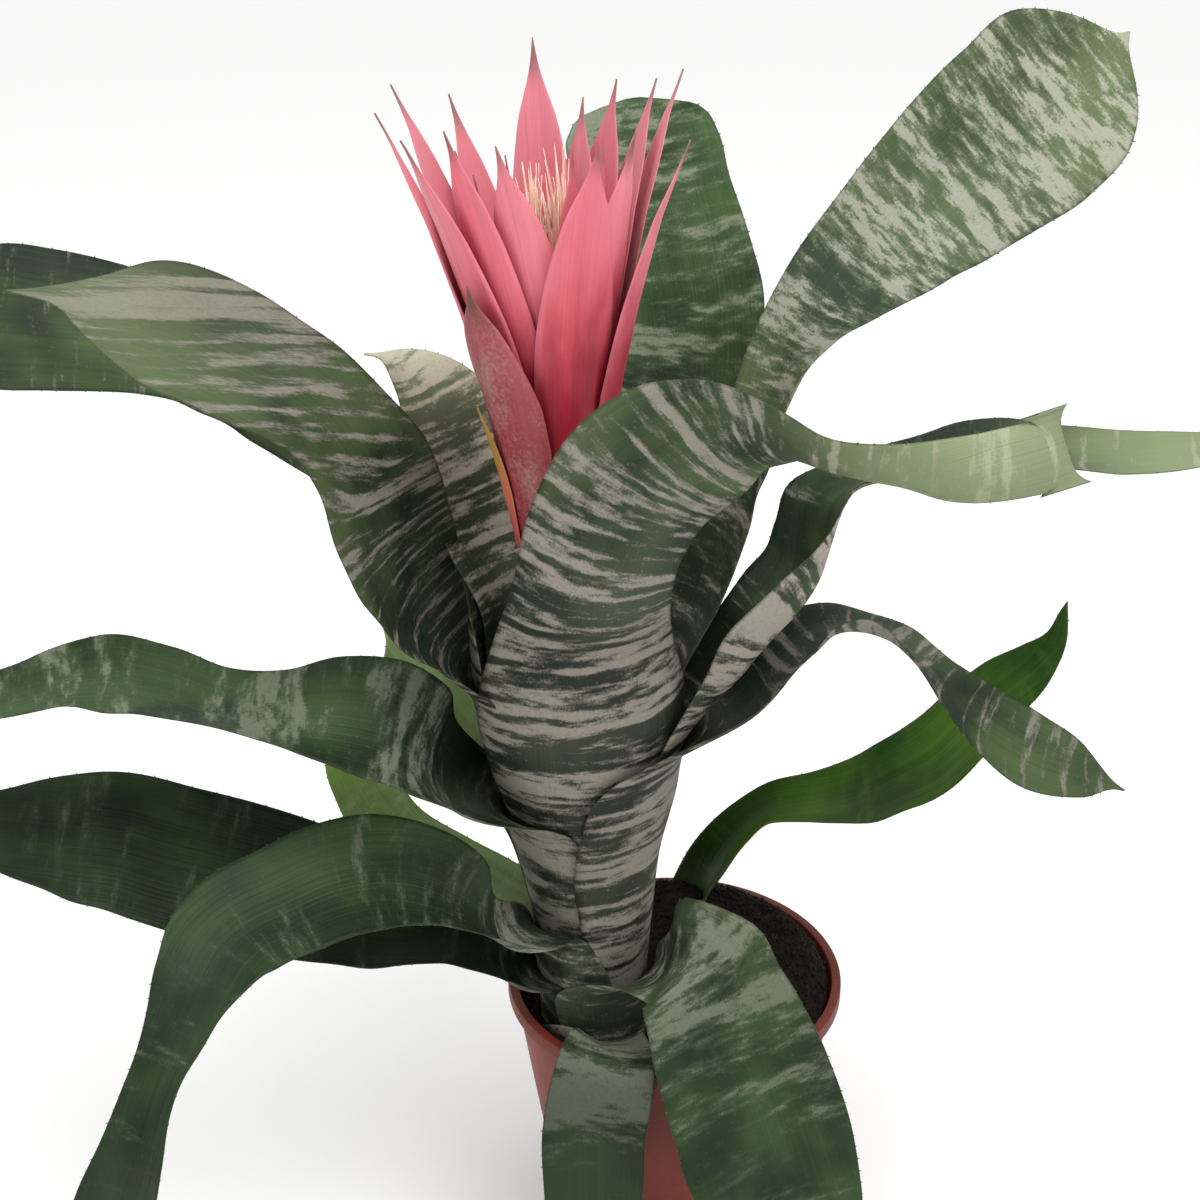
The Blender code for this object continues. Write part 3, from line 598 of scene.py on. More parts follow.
def markShell(mesh, grid, along, seed, **marks):
    # leafMap holds metres across and along, shareMap the same as shares of the whole
    steps = np.linalg.norm(np.diff(grid, axis=1), axis=2)
    across = np.concatenate([np.zeros((len(grid), 1)), np.cumsum(steps, axis=1)], axis=1)
    across -= across[:, -1:] / 2
    columns = grid.shape[1]
    run = np.repeat(along[:, None], columns, axis=1)
    side = np.repeat(np.linspace(0, 1, columns)[None], len(grid), axis=0)
    metres = np.stack([across, run], axis=2).reshape(-1, 2)
    shares = np.stack([side, run / along[-1]], axis=2).reshape(-1, 2)
    addMap(mesh, "leafMap", np.concatenate([metres, metres]))
    addMap(mesh, "shareMap", np.concatenate([shares, shares]))
    addMark(mesh, "leafSeed", np.full(len(mesh.vertices), seed))
    for name, (outer, inner) in marks.items():
        addMark(mesh, name, np.concatenate([np.repeat(outer, columns), np.repeat(inner, columns)]))


# the leaves: a nested sheath low down, then a channelled blade

# The sheaths are nested turned surfaces about the plant's axis, level 0 outermost.
sheaths = {
    "heights": [h * mm for h in (1, 24, 48, 72, 96, 120, 144, 168, 192)],
    "radii": [r * mm for r in (17, 18.5, 21.5, 25, 31.5, 38, 42, 42, 41)],
    "pitches": [p * mm for p in (1.5, 1.6, 1.7, 1.8, 1.9, 2.0, 2.2, 2.2, 2.2)],
    "reference": 5,
    "buried": 4 * mm,
}

leafShape = {
    "columns": 26,
    "step": 2.2 * mm,
    "thickness": 0.95 * mm,
    "thinning": 0.62,
    "ripple": 0.5 * mm,  # height of the small waves along the margins
    "rippleLength": 37 * mm,
    "referenceRim": 65 * mm,
    "point": 4 * mm,  # the little spike that ends a leaf
    "pointWidth": 0.12,  # of the leaf's own end
    "wholeWidth": 20 * mm,  # narrower stretches have smaller waves
    "reachMarks": (0.25, 0.6, 1),  # shares of the length that silver and inside are given at
    "sheathFade": 4,  # stations over which a sheath's look turns into the blade's
    "sheathScurf": (0.76, 0.5),  # outer and inner face
}

# azimuth: degrees from +X, anticlockwise from above. level: the nested sheath it grows on, half as wide
# as the sheath angles at each height from the soil up, sat round from the azimuth by turn.
# blade: stations of (out, up, side, width, roll, hollow) from the plant's foot in mm and degrees, where
# hollow is the channel's depth over the width. overRim: out and side follow the pot's rim.
# silver and inside: scurf on the outer and inner face at the foot, the middle and the tip.
# a leaf's tone factors, one for the blade and one for the sheath, multiply its colour: painted shade below
# 1, painted light above 1
leaves = {
    "leaf_front_tall": dict(
        azimuth=-75, turn=-6, level=6, skin="silverSkin",
        silver=(0.8, 0.62, 0.5), inside=(0.5, 0.45, 0.6), paleTip=0.55, sheathPaintedShading=0.88, barbs=True,
        sheath=(70, 70, 70, 70, 70, 70, 66, 52),
        blade=[(39, 194, -1, 52, -18, 0.22), (43, 217, 5, 52, -34, 0.16), (49, 236, 16, 54, -46, 0.14),
               (59, 248, 28, 54, -52, 0.13), (70, 255, 41, 49, -50, 0.12), (80, 254, 52, 43, -42, 0.12),
               (90, 250, 63, 37, -36, 0.14), (100, 248, 77, 31, -42, 0.16), (107, 246, 93, 23, -76, 0.18),
               (111, 247, 109, 21, -108, 0.14), (113, 249, 118, 22, -104, 0.12),
               (115, 251, 124, 24, -100, 0.05)]),
    "leaf_left_tall": dict(
        azimuth=190, level=7, skin="silverSkin",
        silver=(0.95, 0.7, 0.5), inside=(0.8, 0.7, 0.5), paleTip=0.2, tone=0.74, barWay=(-0.06, 0.42, 0.9),
        sheath=(60, 60, 60, 60, 58, 54, 44),
        blade=[(39, 166, -3, 58, -14, 0.2), (48, 186, 0, 63, -36, 0.16), (55, 207, 5, 62, -48, 0.12),
               (61, 227, 11, 56, -53, 0.1), (68, 246, 15, 46, -49, 0.08), (78, 262, 18, 45, -42, 0.08),
               (94, 275, 18, 49, -38, 0.08), (110, 286, 19, 52, -38, 0.08), (125, 294, 20, 47, -34, 0.08),
               (139, 299, 19, 31, -22, 0.1), (150, 303, 18, 12, -15, 0.12), (160, 305, 19, 3, -15, 0)]),
    "leaf_left_back": dict(
        azimuth=168, level=8, skin="silverSkin",
        silver=(0.8, 0.45, 0.3), inside=(0.5, 0.35, 0.25), tone=0.85,
        sheath=(50, 50, 50, 50, 50, 48, 44, 34),
        blade=[(37, 181, -21, 22, -6, 0.2), (53, 195, -24, 24, -20, 0.14), (76, 216, -17, 31, -36, 0.1),
               (100, 241, -9, 37, -44, 0.08), (122, 264, 3, 43, -44, 0.08), (143, 275, 15, 49, -42, 0.07),
               (161, 282, 28, 53, -44, 0.06), (179, 285, 34, 50, -52, 0.05), (195, 287, 39, 36, -54, 0.04),
               (207, 288, 43, 14, -54, 0.02), (211, 288, 44, 4, -54, 0)]),
    "leaf_right_paddle": dict(
        azimuth=20, level=7, skin="mottledSkin",
        silver=(0.8, 0.7, 0.7), inside=(0.62, 0.68, 0.9), paleTip=0.06,
        sheath=(60, 60, 60, 60, 55, 46, 34),
        blade=[(45, 170, 0, 33, 20, 0.24), (55, 198, -1, 35, 24, 0.24), (64, 219, -2, 34, 16, 0.24),
               (71, 234, -3, 34, 4, 0.24), (79, 247, -1, 36, 0, 0.2), (89, 257, 2, 37, 8, 0.16),
               (104, 268, 5, 41, 26, 0.12), (128, 283, 7, 49, 46, 0.08), (155, 300, 8, 60, 56, 0.06),
               (181, 315, 9, 67, 58, 0.05), (203, 329, 12, 60, 56, 0.05), (217, 334, 15, 33, 56, 0.04),
               (224, 338, 17, 6, 56, 0)]),
    "leaf_behind_flower": dict(
        azimuth=75, level=9, skin="greenSkin",
        silver=(0.8, 0.5, 0.3), inside=(0.4, 0.42, 0.85), tone=1.3,
        sheath=(26, 26, 26, 26, 26, 26, 25, 24),
        blade=[(43, 194, -10, 34, 12, 0.2), (55, 213, -19, 43, 18, 0.16), (66, 234, -25, 55, 16, 0.12),
               (76, 257, -24, 64, 11, 0.1), (85, 277, -19, 61, 8, 0.08), (94, 296, -12, 58, 6, 0.07),
               (101, 310, -8, 56, 7, 0.06), (105, 318, -5, 50, 8, 0.05), (107, 322, -4, 38, 8, 0.02)]),
    "leaf_back_left": dict(
        azimuth=130, level=9, skin="silverSkin",
        silver=(0.85, 0.8, 0.8), inside=(0.85, 0.9, 0.9), paleTip=0.2, tone=1.6,
        sheath=(28, 28, 28, 28, 28, 28, 31, 36),
        blade=[(37, 189, 0, 44, -10, 0.2), (46, 213, 2, 44, -12, 0.14), (55, 232, 5, 40, -9, 0.12),
               (66, 244, 8, 29, -3, 0.12), (76, 250, 13, 18, 4, 0.1), (82, 250, 17, 4, 4, 0)]),
    "leaf_left_middle": dict(
        azimuth=195, turn=12, level=5, skin="greenSkin",
        silver=(0.75, 0.5, 0.55), inside=(0.4, 0.6, 0.8), tone=1.0,
        sheath=(80, 80, 78, 70, 56),
        blade=[(43, 122, 14, 46, -24, 0.28), (54, 137, 16, 46, -38, 0.22), (67, 147, 17, 45, -46, 0.16),
               (85, 154, 14, 42, -34, 0.13), (103, 157, 11, 39, -14, 0.13), (122, 163, 8, 39, -4, 0.12),
               (141, 171, 4, 40, -10, 0.1), (157, 176, 2, 39, -14, 0.1), (174, 177, 2, 33, -11, 0.1),
               (191, 175, 3, 24, -14, 0.08), (207, 174, 1, 12, -18, 0.05), (218, 174, -1, 3, -18, 0)]),
    "leaf_right_twisted": dict(
        azimuth=8, level=5, skin="silverSkin",
        silver=(0.95, 0.85, 0.5), inside=(0.35, 0.2, 0.25), paleTip=0.5,
        sheath=(60, 60, 60, 60, 58, 54),
        blade=[(46, 154, -10, 38, 0, 0.4), (55, 170, -13, 36, -10, 0.48), (65, 179, -11, 37, -14, 0.48),
               (75, 186, -8, 37, -13, 0.4), (82, 194, -4, 36, -6, 0.28), (89, 204, 1, 35, 0, 0.2),
               (100, 209, 3, 34, -4, 0.15), (119, 214, -1, 36, -2, 0.13), (143, 219, -7, 38, 6, 0.12),
               (166, 218, -13, 35, 5, 0.12), (189, 216, -21, 30, 9, 0.1), (213, 217, -28, 20, 14, 0.08),
               (234, 220, -33, 4, 20, 0)]),
    "leaf_right_drooping": dict(
        azimuth=-5, turn=-8, level=4, skin="silverSkin",
        silver=(0.95, 0.9, 0.35), inside=(0.8, 0.5, 0.3), tone=0.8,
        sheath=(80, 82, 84, 86, 78, 60),
        blade=[(58, 135, 6, 38, 4, 0.22), (70, 146, 13, 35, 6, 0.2), (81, 153, 18, 36, -2, 0.18),
               (91, 157, 20, 38, -12, 0.16), (103, 157, 19, 37, -22, 0.15), (114, 154, 15, 31, -20, 0.15),
               (123, 148, 8, 25, -14, 0.15), (132, 138, 2, 29, 8, 0.12), (145, 124, 2, 36, 17, 0.1),
               (162, 112, 0, 37, 20, 0.08), (178, 105, -1, 25, 20, 0.06), (190, 98, 0, 3, 22, 0)]),
    "leaf_left_drooping": dict(
        azimuth=205, turn=18, level=3, overRim=True, skin="greenSkin",
        silver=(0.7, 0.25, 0.35), inside=(0.5, 0.3, 0.35), tone=0.9, sheathPaintedShading=1.4,
        sheath=(80, 66, 42),
        blade=[(37, 64, 20, 30, -14, 0.3), (50, 78, 16, 32, -30, 0.25), (65, 88, 11, 36, -43, 0.2),
               (81, 94, 9, 42, -40, 0.14), (99, 96, 9, 44, -33, 0.1), (116, 94, 10, 43, -30, 0.09),
               (131, 92, 12, 41, -31, 0.09), (142, 89, 17, 37, -31, 0.1), (151, 83, 24, 30, -33, 0.12),
               (160, 74, 30, 23, -34, 0.14), (168, 65, 35, 19, -32, 0.14), (176, 54, 39, 19, -33, 0.14),
               (184, 39, 43, 23, -42, 0.12), (193, 18, 42, 28, -54, 0.1), (203, -9, 37, 27, -58, 0.08),
               (209, -37, 31, 16, -56, 0.05), (213, -57, 27, 4, -56, 0)]),
    "leaf_left_broad": dict(
        azimuth=185, level=2, overRim=True, skin="greenSkin",
        silver=(0.6, 0.15, 0.15), inside=(0.3, 0.15, 0.15), tone=0.65,
        sheath=(80, 54),
        blade=[(26, 36, 16, 31, -12, 0.3), (39, 47, 14, 32, -20, 0.24), (58, 56, 12, 38, -28, 0.16),
               (78, 63, 13, 45, -36, 0.12), (100, 71, 11, 51, -39, 0.09), (123, 81, 10, 54, -38, 0.07),
               (147, 92, 11, 54, -38, 0.06), (167, 102, 12, 52, -37, 0.06), (186, 108, 14, 45, -33, 0.06),
               (204, 113, 16, 33, -27, 0.05), (222, 117, 17, 17, -24, 0.04), (234, 118, 17, 4, -24, 0)]),
    "leaf_front_right": dict(
        azimuth=-55, level=1, overRim=True, skin="greenSkin",
        silver=(0.9, 0.3, 0.2), inside=(0.95, 0.35, 0.25), tone=0.85, sheathPaintedShading=1.5,
        sheath=(70, 64),
        blade=[(33, 41, 1, 35, 16, 0.28), (41, 47, 5, 43, 30, 0.22), (51, 45, 9, 48, 33, 0.16),
               (62, 34, 10, 53, 27, 0.12), (72, 20, 10, 59, 23, 0.1), (81, 2, 11, 63, 20, 0.09),
               (89, -17, 12, 64, 20, 0.08), (95, -37, 14, 60, 22, 0.07), (101, -57, 17, 48, 24, 0.06),
               (105, -73, 19, 26, 26, 0.04), (107, -82, 20, 5, 26, 0)]),
    "leaf_front_low": dict(
        azimuth=-95, level=0, overRim=True, skin="greenSkin",
        silver=(0.9, 0.2, 0.1), inside=(1.0, 0.15, 0.1), tone=0.5, sheathPaintedShading=1.6,
        sheath=(55,),
        blade=[(28, 10, 8, 25, -12, 0.2), (37, 14, 9, 30, -14, 0.14), (47, 14, 9, 34, -14, 0.1),
               (57, 7, 7, 37, -13, 0.08), (64, -7, 4, 37, -11, 0.08), (68, -27, 3, 36, -9, 0.08),
               (70, -49, 2, 32, -8, 0.07), (70, -67, 1, 22, -8, 0.05), (70, -79, 1, 4, -8, 0)]),
    "leaf_low_light": dict(
        azimuth=150, turn=-12, level=1, overRim=True, skin="paleSkin",
        silver=(0.5, 0.2, 0.1), inside=(0.2, 0.1, 0.1), paleTip=0.9,
        sheath=(40, 24),
        blade=[(29, 36, -6, 22, -8, 0.22), (44, 39, -8, 20, -20, 0.16), (63, 46, -4, 22, -30, 0.13),
               (82, 59, 5, 25, -36, 0.12), (93, 78, 10, 26, -35, 0.1), (100, 94, 10, 19, -33, 0.08),
               (103, 107, 10, 4, -33, 0)]),
    "leaf_mid_pale": dict(
        azimuth=140, level=4, skin="paleSkin",
        silver=(0.5, 0.3, 0.2), inside=(0.3, 0.2, 0.2),
        sheath=(44, 38, 32),
        blade=[(32, 72, -4, 24, -8, 0.24), (44, 94, 2, 25, -26, 0.18), (57, 113, 9, 28, -34, 0.14),
               (66, 127, 12, 28, -32, 0.12), (74, 137, 13, 20, -24, 0.1), (81, 143, 13, 4, -18, 0)]),
    "leaf_back_low": dict(
        azimuth=93, level=0, overRim=True, skin="greenSkin",
        silver=(0.6, 0.35, 0.25), inside=(0.4, 0.25, 0.2),
        sheath=(40, 26),
        blade=[(33, 40, -9, 27, 0, 0.2), (48, 56, -8, 32, 0, 0.13), (68, 70, -5, 38, 0, 0.1),
               (92, 78, -5, 40, 0, 0.09), (117, 81, -5, 39, 0, 0.09), (141, 75, -5, 33, 0, 0.09),
               (162, 61, -6, 22, 0, 0.07), (174, 48, -6, 4, 0, 0)]),
    "leaf_back_middle": dict(
        azimuth=112, level=6, skin="silverSkin",
        silver=(0.85, 0.5, 0.4), inside=(0.5, 0.35, 0.3),
        sheath=(50, 50, 50, 46, 40, 34),
        blade=[(46, 144, -3, 38, 0, 0.18), (57, 159, -3, 37, 0, 0.13), (74, 169, -3, 36, 0, 0.11),
               (94, 172, -3, 36, 0, 0.1), (115, 167, -3, 34, 0, 0.1), (134, 154, -3, 28, 0, 0.08),
               (149, 139, -4, 16, 0, 0.06), (155, 130, -4, 4, 0, 0)]),
    "leaf_offset": dict(
        azimuth=15, level=None, overRim=True, skin="youngSkin",
        silver=(0.1, 0.05, 0.0), inside=(0.1, 0.05, 0.0),
        sheath=(),
        blade=[(47, 6, 43, 27, 12, 0.3), (51, 18, 41, 25, 15, 0.3), (59, 34, 36, 20, 35, 0.35),
               (69, 50, 30, 19, 25, 0.35), (79, 61, 24, 21, 16, 0.3), (93, 66, 15, 26, 17, 0.22),
               (107, 71, 6, 30, 24, 0.16), (121, 80, -3, 33, 30, 0.1), (133, 91, -11, 33, 31, 0.08),
               (143, 106, -18, 30, 33, 0.06), (154, 122, -25, 25, 37, 0.05), (163, 133, -31, 18, 38, 0.04),
               (169, 144, -35, 9, 36, 0.02), (171, 155, -36, 3, 30, 0)]),
}


goldenShare = 0.618034  # keeps the seeds of neighbours apart


def sheathRadius(height, level):
    base = np.interp(height, sheaths["heights"], sheaths["radii"])
    pitch = np.interp(height, sheaths["heights"], sheaths["pitches"])
    return base - (level - sheaths["reference"]) * pitch


def leafRows(leaf, columns):
    out, side = outAndSide(math.radians(leaf["azimuth"]))
    up = np.array([0, 0, 1.0])
    spread = np.linspace(-1, 1, columns)
    rows = []
    last = None
    for height, half in zip(sheaths["heights"], leaf["sheath"]):
        radius = sheathRadius(height, leaf["level"])
        turn = np.radians(leaf.get("turn", 0) + half * spread)
        ring = radius * (np.cos(turn)[:, None] * out + np.sin(turn)[:, None] * side)
        if not rows:
            rows.append(ring - sheaths["buried"] * up)
        rows.append(ring + height * up)
        last = radius * math.cos(math.radians(half)) * out + height * up
    reach = mm * (rimRadius / leafShape["referenceRim"] if leaf.get("overRim") else 1)
    centres = [(o * out + s * side) * reach + u * mm * up for o, u, s, _, _, _ in leaf["blade"]]
    if last is None:
        last = 2 * centres[0] - centres[1]
    path = np.array([last] + centres)
    runs = np.gradient(path, axis=0)[1:]
    sheathRows = len(rows)
    for run, centre, (_, _, _, width, roll, hollow) in zip(runs, centres, leaf["blade"]):
        run = run / np.linalg.norm(run)
        level = np.cross(up, run) + side * abs(run[2])
        level -= run * (level @ run)
        level /= np.linalg.norm(level)
        face = np.cross(run, level)
        turn = math.radians(roll)
        acrossWay = level * math.cos(turn) + face * math.sin(turn)
        above = face * math.cos(turn) - level * math.sin(turn)
        sag = hollow * width * mm * (1 - spread ** 2)
        rows.append(centre + spread[:, None] * acrossWay * width * mm / 2 - sag[:, None] * above)
    ahead = runs[-1] / np.linalg.norm(runs[-1])
    if leaf.get("barbs"):
        rows.append(rows[-1] + np.outer(leafShape["point"] * (0.1 + spread ** 4), ahead))
    else:
        spike = rows[-1].mean(axis=0) + ahead * leafShape["point"]
        rows.append(spike + (rows[-1] - rows[-1].mean(axis=0)) * leafShape["pointWidth"])
    return rows, sheathRows


def leafGrid(leaf, seed):
    rows, sheathRows = leafRows(leaf, leafShape["columns"] + 1)
    grid, along, stage = refine(rows, leafShape["step"])
    spread = np.linspace(-1, 1, leafShape["columns"] + 1)
    width = np.linalg.norm(grid[:, -1] - grid[:, 0], axis=1)
    free = np.clip((stage - sheathRows) / 1.5, 0, 1) * np.clip(width / leafShape["wholeWidth"], 0, 1)
    phase = 2 * math.pi * along / leafShape["rippleLength"]
    wave = np.sin(phase[:, None] + 1.9 * spread[None] + seed * 9) + 0.6 * np.sin(
        1.73 * phase[:, None] - 2.3 * spread[None] + seed * 23)
    uneven = 0.5 + 0.5 * np.sin(0.31 * phase + seed * 17)
    lift = leafShape["ripple"] * wave * (free * uneven)[:, None] * (0.15 + spread[None] ** 2)
    grid = toWorld(grid + gridNormals(grid) * lift[..., None])
    sheathShare = 1 - np.clip((stage - sheathRows + 1) / leafShape["sheathFade"], 0, 1)
    return grid, along, sheathShare


def buildLeaves():
    margins = []
    for k, (name, leaf) in enumerate(leaves.items()):
        seed = (k * goldenShare) % 1
        grid, along, sheathShare = leafGrid(leaf, seed)
        piece = thinShell(name.replace("leaf_", "leafBlade_"), grid, leafShape["thickness"],
                          leafShape["thinning"], leafSkins[leaf["skin"]])
        reach = along / along[-1]
        outerScurf, innerScurf = leafShape["sheathScurf"]
        outer = mix(np.interp(reach, leafShape["reachMarks"], leaf["silver"]), outerScurf, sheathShare)
        inner = mix(np.interp(reach, leafShape["reachMarks"], leaf["inside"]), innerScurf, sheathShare)
        pale = np.full(len(along), leaf.get("paleTip", 0.0))
        # painted shade and painted light: the blade's factor, faded into the sheath's own
        bladePaintedShading = leaf.get("tone", 1.0)
        tone = mix(bladePaintedShading, leaf.get("sheathPaintedShading", bladePaintedShading), sheathShare)
        markShell(piece.data, grid, along, seed, silver=(outer, inner), paleTip=(pale, pale),
                  sheathShare=(sheathShare, sheathShare), tone=(tone, tone))
        # the distance that the bars are spaced by: along the leaf, or up its own slope
        run = np.repeat(along[:, None], grid.shape[1], axis=1)
        if "barWay" in leaf:
            run = mix(grid @ np.array(leaf["barWay"]), run, sheathShare[:, None])
        addMark(piece.data, "barRun", np.concatenate([run.ravel(), run.ravel()]))
        standFor(piece, name)
        margins.append((grid, sheathShare))
    return margins


leafMargins = buildLeaves()
print("leaves made:", len(leafMargins))


# the flower head: bracts on nested cones, florets in the middle

head = {
    "heights": [h * mm for h in (198, 225, 252, 280, 308, 335, 362)],
    "outer": [r * mm for r in (14.5, 18, 22, 29, 37, 47, 60)],
    "inner": [r * mm for r in (5.4, 6, 7, 9, 11.5, 14.5, 18)],
    "levels": 8,
    "rows": 44,
    "columns": 12,
    "thickness": 0.6 * mm,
    "thinning": 0.6,
    "keel": 0.7 * mm,  # how far the middle stands out from the cone
    "fullness": 1.3,  # of the widths in the list
    "widest": math.radians(44),  # half of the widest angle a bract takes round the axis
}

# (level, azimuth, drift, tip height, width, flare) in degrees and mm
bracts = [
    (0, 178, 0, 343, 17, -1), (0, 343, 0, 332, 17, 3), (0, 84, 0, 322, 16, 0), (0, 131, 0, 324, 16, 0),
    (0, 38, 0, 322, 17, 0),
    (1, 290, 8, 337, 21, 0), (1, 214, 0, 339, 20, 3), (1, 160, 0, 349, 17, 0), (1, 92, 0, 326, 18, 0),
    (1, 17, 0, 349, 16, 0),
    (2, 229, 0, 342, 19, 0), (2, 321, 0, 337, 18, 0), (2, 25, 0, 346, 19, 0), (2, 146, 0, 322, 17, 0),
    (3, 264, -14, 337, 20, 0), (3, 142, 0, 344, 17, 0), (3, 46, 0, 345, 19, 0),
    (4, 61, 0, 340, 16, 0), (4, 240, 0, 322, 14, 0), (4, 318, 0, 333, 15, 0),
    (5, 92, 0, 359, 19, 0), (5, 200, 0, 324, 14, 0), (5, 330, 0, 326, 12, 0),
    (6, 308, 0, 331, 11, 0), (6, 25, 0, 318, 10, 0), (7, 224, 0, 330, 8, 0),
]
scapeBracts = {  # the same six values, then the skin, the slot and the seed
    "scape_bract_large": ((-1, 222, 8, 294, 24, 0), "redBract", "scape_bract", 0.4),
    "scape_bract_small": ((-2, 206, 0, 250, 6, 2), "orangeBract", "scape_bract_thin", 0.7),
}


def coneRadius(height, level):
    outer = np.interp(height, head["heights"], head["outer"])
    inner = np.interp(height, head["heights"], head["inner"])
    return mix(outer, inner, level / (head["levels"] - 1))


def bractGrid(bract, seed):
    level, azimuth, drift, tip, width, flare = bract
    rows = []
    spread = np.linspace(-1, 1, head["columns"] + 1)
    for share in np.linspace(0, 1, head["rows"] + 1):
        height = mix(head["heights"][0], tip * mm, share)
        radius = coneRadius(height, level) + flare * mm * share ** 4
        narrowing = max(share - 0.5, 0) / 0.5
        needle = 1 - 0.62 * smooth((narrowing - 0.68) / 0.32)
        full = min(1, 0.5 + 1.3 * share) * (1 - narrowing ** 1.9) * needle + 0.015
        half = min(full * width * mm * head["fullness"] / 2 / radius, head["widest"])
        sway = 1.6 * math.sin(seed * 40) * share ** 3
        middle = math.radians(azimuth + drift * share ** 2 + sway)
        turns = middle + half * spread
        ridge = head["keel"] * full * (1 - np.abs(spread)) ** 1.5 * min(1, 4 * share)
        around = radius + ridge - 0.5 * head["keel"] * full * min(1, 4 * share)
        rows.append(np.stack([around * np.cos(turns), around * np.sin(turns),
                              np.full(len(turns), height)], axis=1))
    return np.array(rows)


def buildBract(name, bract, skin, slot, seed):
    grid = bractGrid(bract, seed)
    steps = np.linalg.norm(np.diff(grid[:, head["columns"] // 2], axis=0), axis=1)
    along = np.concatenate([[0], np.cumsum(steps)])
    grid = toWorld(grid)
    piece = thinShell(name.replace("bract", "bractBlade"), grid, head["thickness"], head["thinning"],
                      bractSkins[skin])
    count = len(along)
    markShell(piece.data, grid, along, seed, inside=(np.zeros(count), np.ones(count)))
    standFor(piece, name)


def buildHead():
    for k, bract in enumerate(bracts):
        buildBract("bract_%02d" % (k + 1), bract, "pinkBract", "bract", (k * goldenShare + 0.2) % 1)
    for name, given in scapeBracts.items():
        buildBract(name, *given)


buildHead()
print("bracts made:", len(bracts) + len(scapeBracts))


florets = {
    "lengths": [l * mm for l in (62, 52, 56, 48, 58, 50)],
    "radius": 1.7 * mm,
    "ring": 6.2 * mm,
    "foot": 262 * mm,
    "petals": 17,
    "petalWidth": 2.3 * mm,
    "petalThickness": 0.25 * mm,
    "opening": 4.4 * mm,  # how far a petal's tip leans out of the floret
    "taller": 6 * mm,  # than the closed buds in the CAD model
    "rows": 16,
}


def buildFloret(k, length, skin):
    # a bundle of long thin petals that open a little at the top
    turn = 2 * math.pi * k / len(florets["lengths"])
    middle = np.array([florets["ring"] * math.cos(turn), florets["ring"] * math.sin(turn), florets["foot"]])
    points = []
    faces = []
    metres = []
    shares = []
    for petal in range(florets["petals"]):
        facing = 2 * math.pi * petal / florets["petals"] + k
        out, side = outAndSide(facing)
        tall = (length + florets["taller"]) * (1 - 0.07 * ((petal * 3 + k) % 5))
        lean = florets["opening"] * (0.35 + 0.65 * ((petal * 5 + k) % 3) / 2)
        first = len(points)
        for i in range(florets["rows"] + 1):
            share = i / florets["rows"]
            half = florets["petalWidth"] / 2 * (0.6 + 0.4 * math.sin(math.pi * share)) * (
                1 - max(share - 0.75, 0) * 3.8)
            away = florets["radius"] * (0.35 + 0.2 * (petal % 3)) + lean * share ** 3
            for across, thick in ((-1, 0), (0, 1), (1, 0), (0, -1)):
                points.append(middle + out * (away + thick * florets["petalThickness"] / 2)
                              + side * across * half + np.array([0, 0, tall * share]))
                metres.append((across * half, tall * share))
                shares.append((0.5 + across / 2, share))
        for i in range(florets["rows"]):
            for c in range(4):
                a = first + i * 4 + c
                b = first + i * 4 + (c + 1) % 4
                faces.append((a, a + 4, b + 4, b))
        last = first + florets["rows"] * 4
        faces.append((first, first + 1, first + 2, first + 3))
        faces.append((last + 3, last + 2, last + 1, last))
    piece = addPiece("floretPetals_%d" % (k + 1), toWorld(points), faces, skin)
    facesOut(piece)
    addMap(piece.data, "leafMap", np.array(metres))
    addMap(piece.data, "shareMap", np.array(shares))
    addMark(piece.data, "leafSeed", np.full(len(points), k * 0.37 % 1))
    standFor(piece, "floret_%d" % (k + 1))


floretSkin = makeFloretSkin()
for number, length in enumerate(florets["lengths"]):
    buildFloret(number, length, floretSkin)


def turnedPiece(name, profile, segments, skin, wobble=None):
    # a closed body turned about Z from (radius, height) points that start and end on the axis
    points = []
    rings = []
    for radius, height in profile:
        if radius == 0:
            rings.append([len(points)])
            points.append((0, 0, height))
            continue
        rings.append(range(len(points), len(points) + segments))
        for k in range(segments):
            angle = 2 * math.pi * k / segments
            size = radius + (wobble(angle, height) if wobble else 0)
            points.append((size * math.cos(angle), size * math.sin(angle), height))
    faces = []
    for low, high in zip(rings, rings[1:]):
        for k in range(segments):
            after = (k + 1) % segments
            if len(low) == 1:
                faces.append((low[0], high[after], high[k]))
            elif len(high) == 1:
                faces.append((low[k], low[after], high[0]))
            else:
                faces.append((low[k], low[after], high[after], high[k]))
    return addPiece(name, points, faces, skin)


def rounded(corners, radius, steps=4):
    # the same outline with its inner corners turned into arcs
    result = [corners[0]]
    for before, here, after in zip(corners, corners[1:], corners[2:]):
        here = Vector(here)
        back = Vector(before) - here
        ahead = Vector(after) - here
        cutBack = min(radius, back.length * 0.45)
        start = here + back.normalized() * cutBack
        end = here + ahead.normalized() * min(radius, ahead.length * 0.45)
        for i in range(steps + 1):
            t = i / steps
            spot = start * (1 - t) ** 2 + here * 2 * t * (1 - t) + end * t ** 2
            result.append(tuple(spot))
    result.append(corners[-1])
    return result


stem = {
    "radius": 6.5 * mm,
    "buried": 6 * mm,
    "scape": 4.2 * mm,
    "scapeTop": 172 * mm,
    "spikeTop": 286 * mm,
    "spike": 4.2 * mm,
    "segments": 40,
    "bumps": 0.35 * mm,
    "cupInset": 0.6 * mm,  # of the disc under the head, from the outermost bracts
    "step": 5 * mm,
}


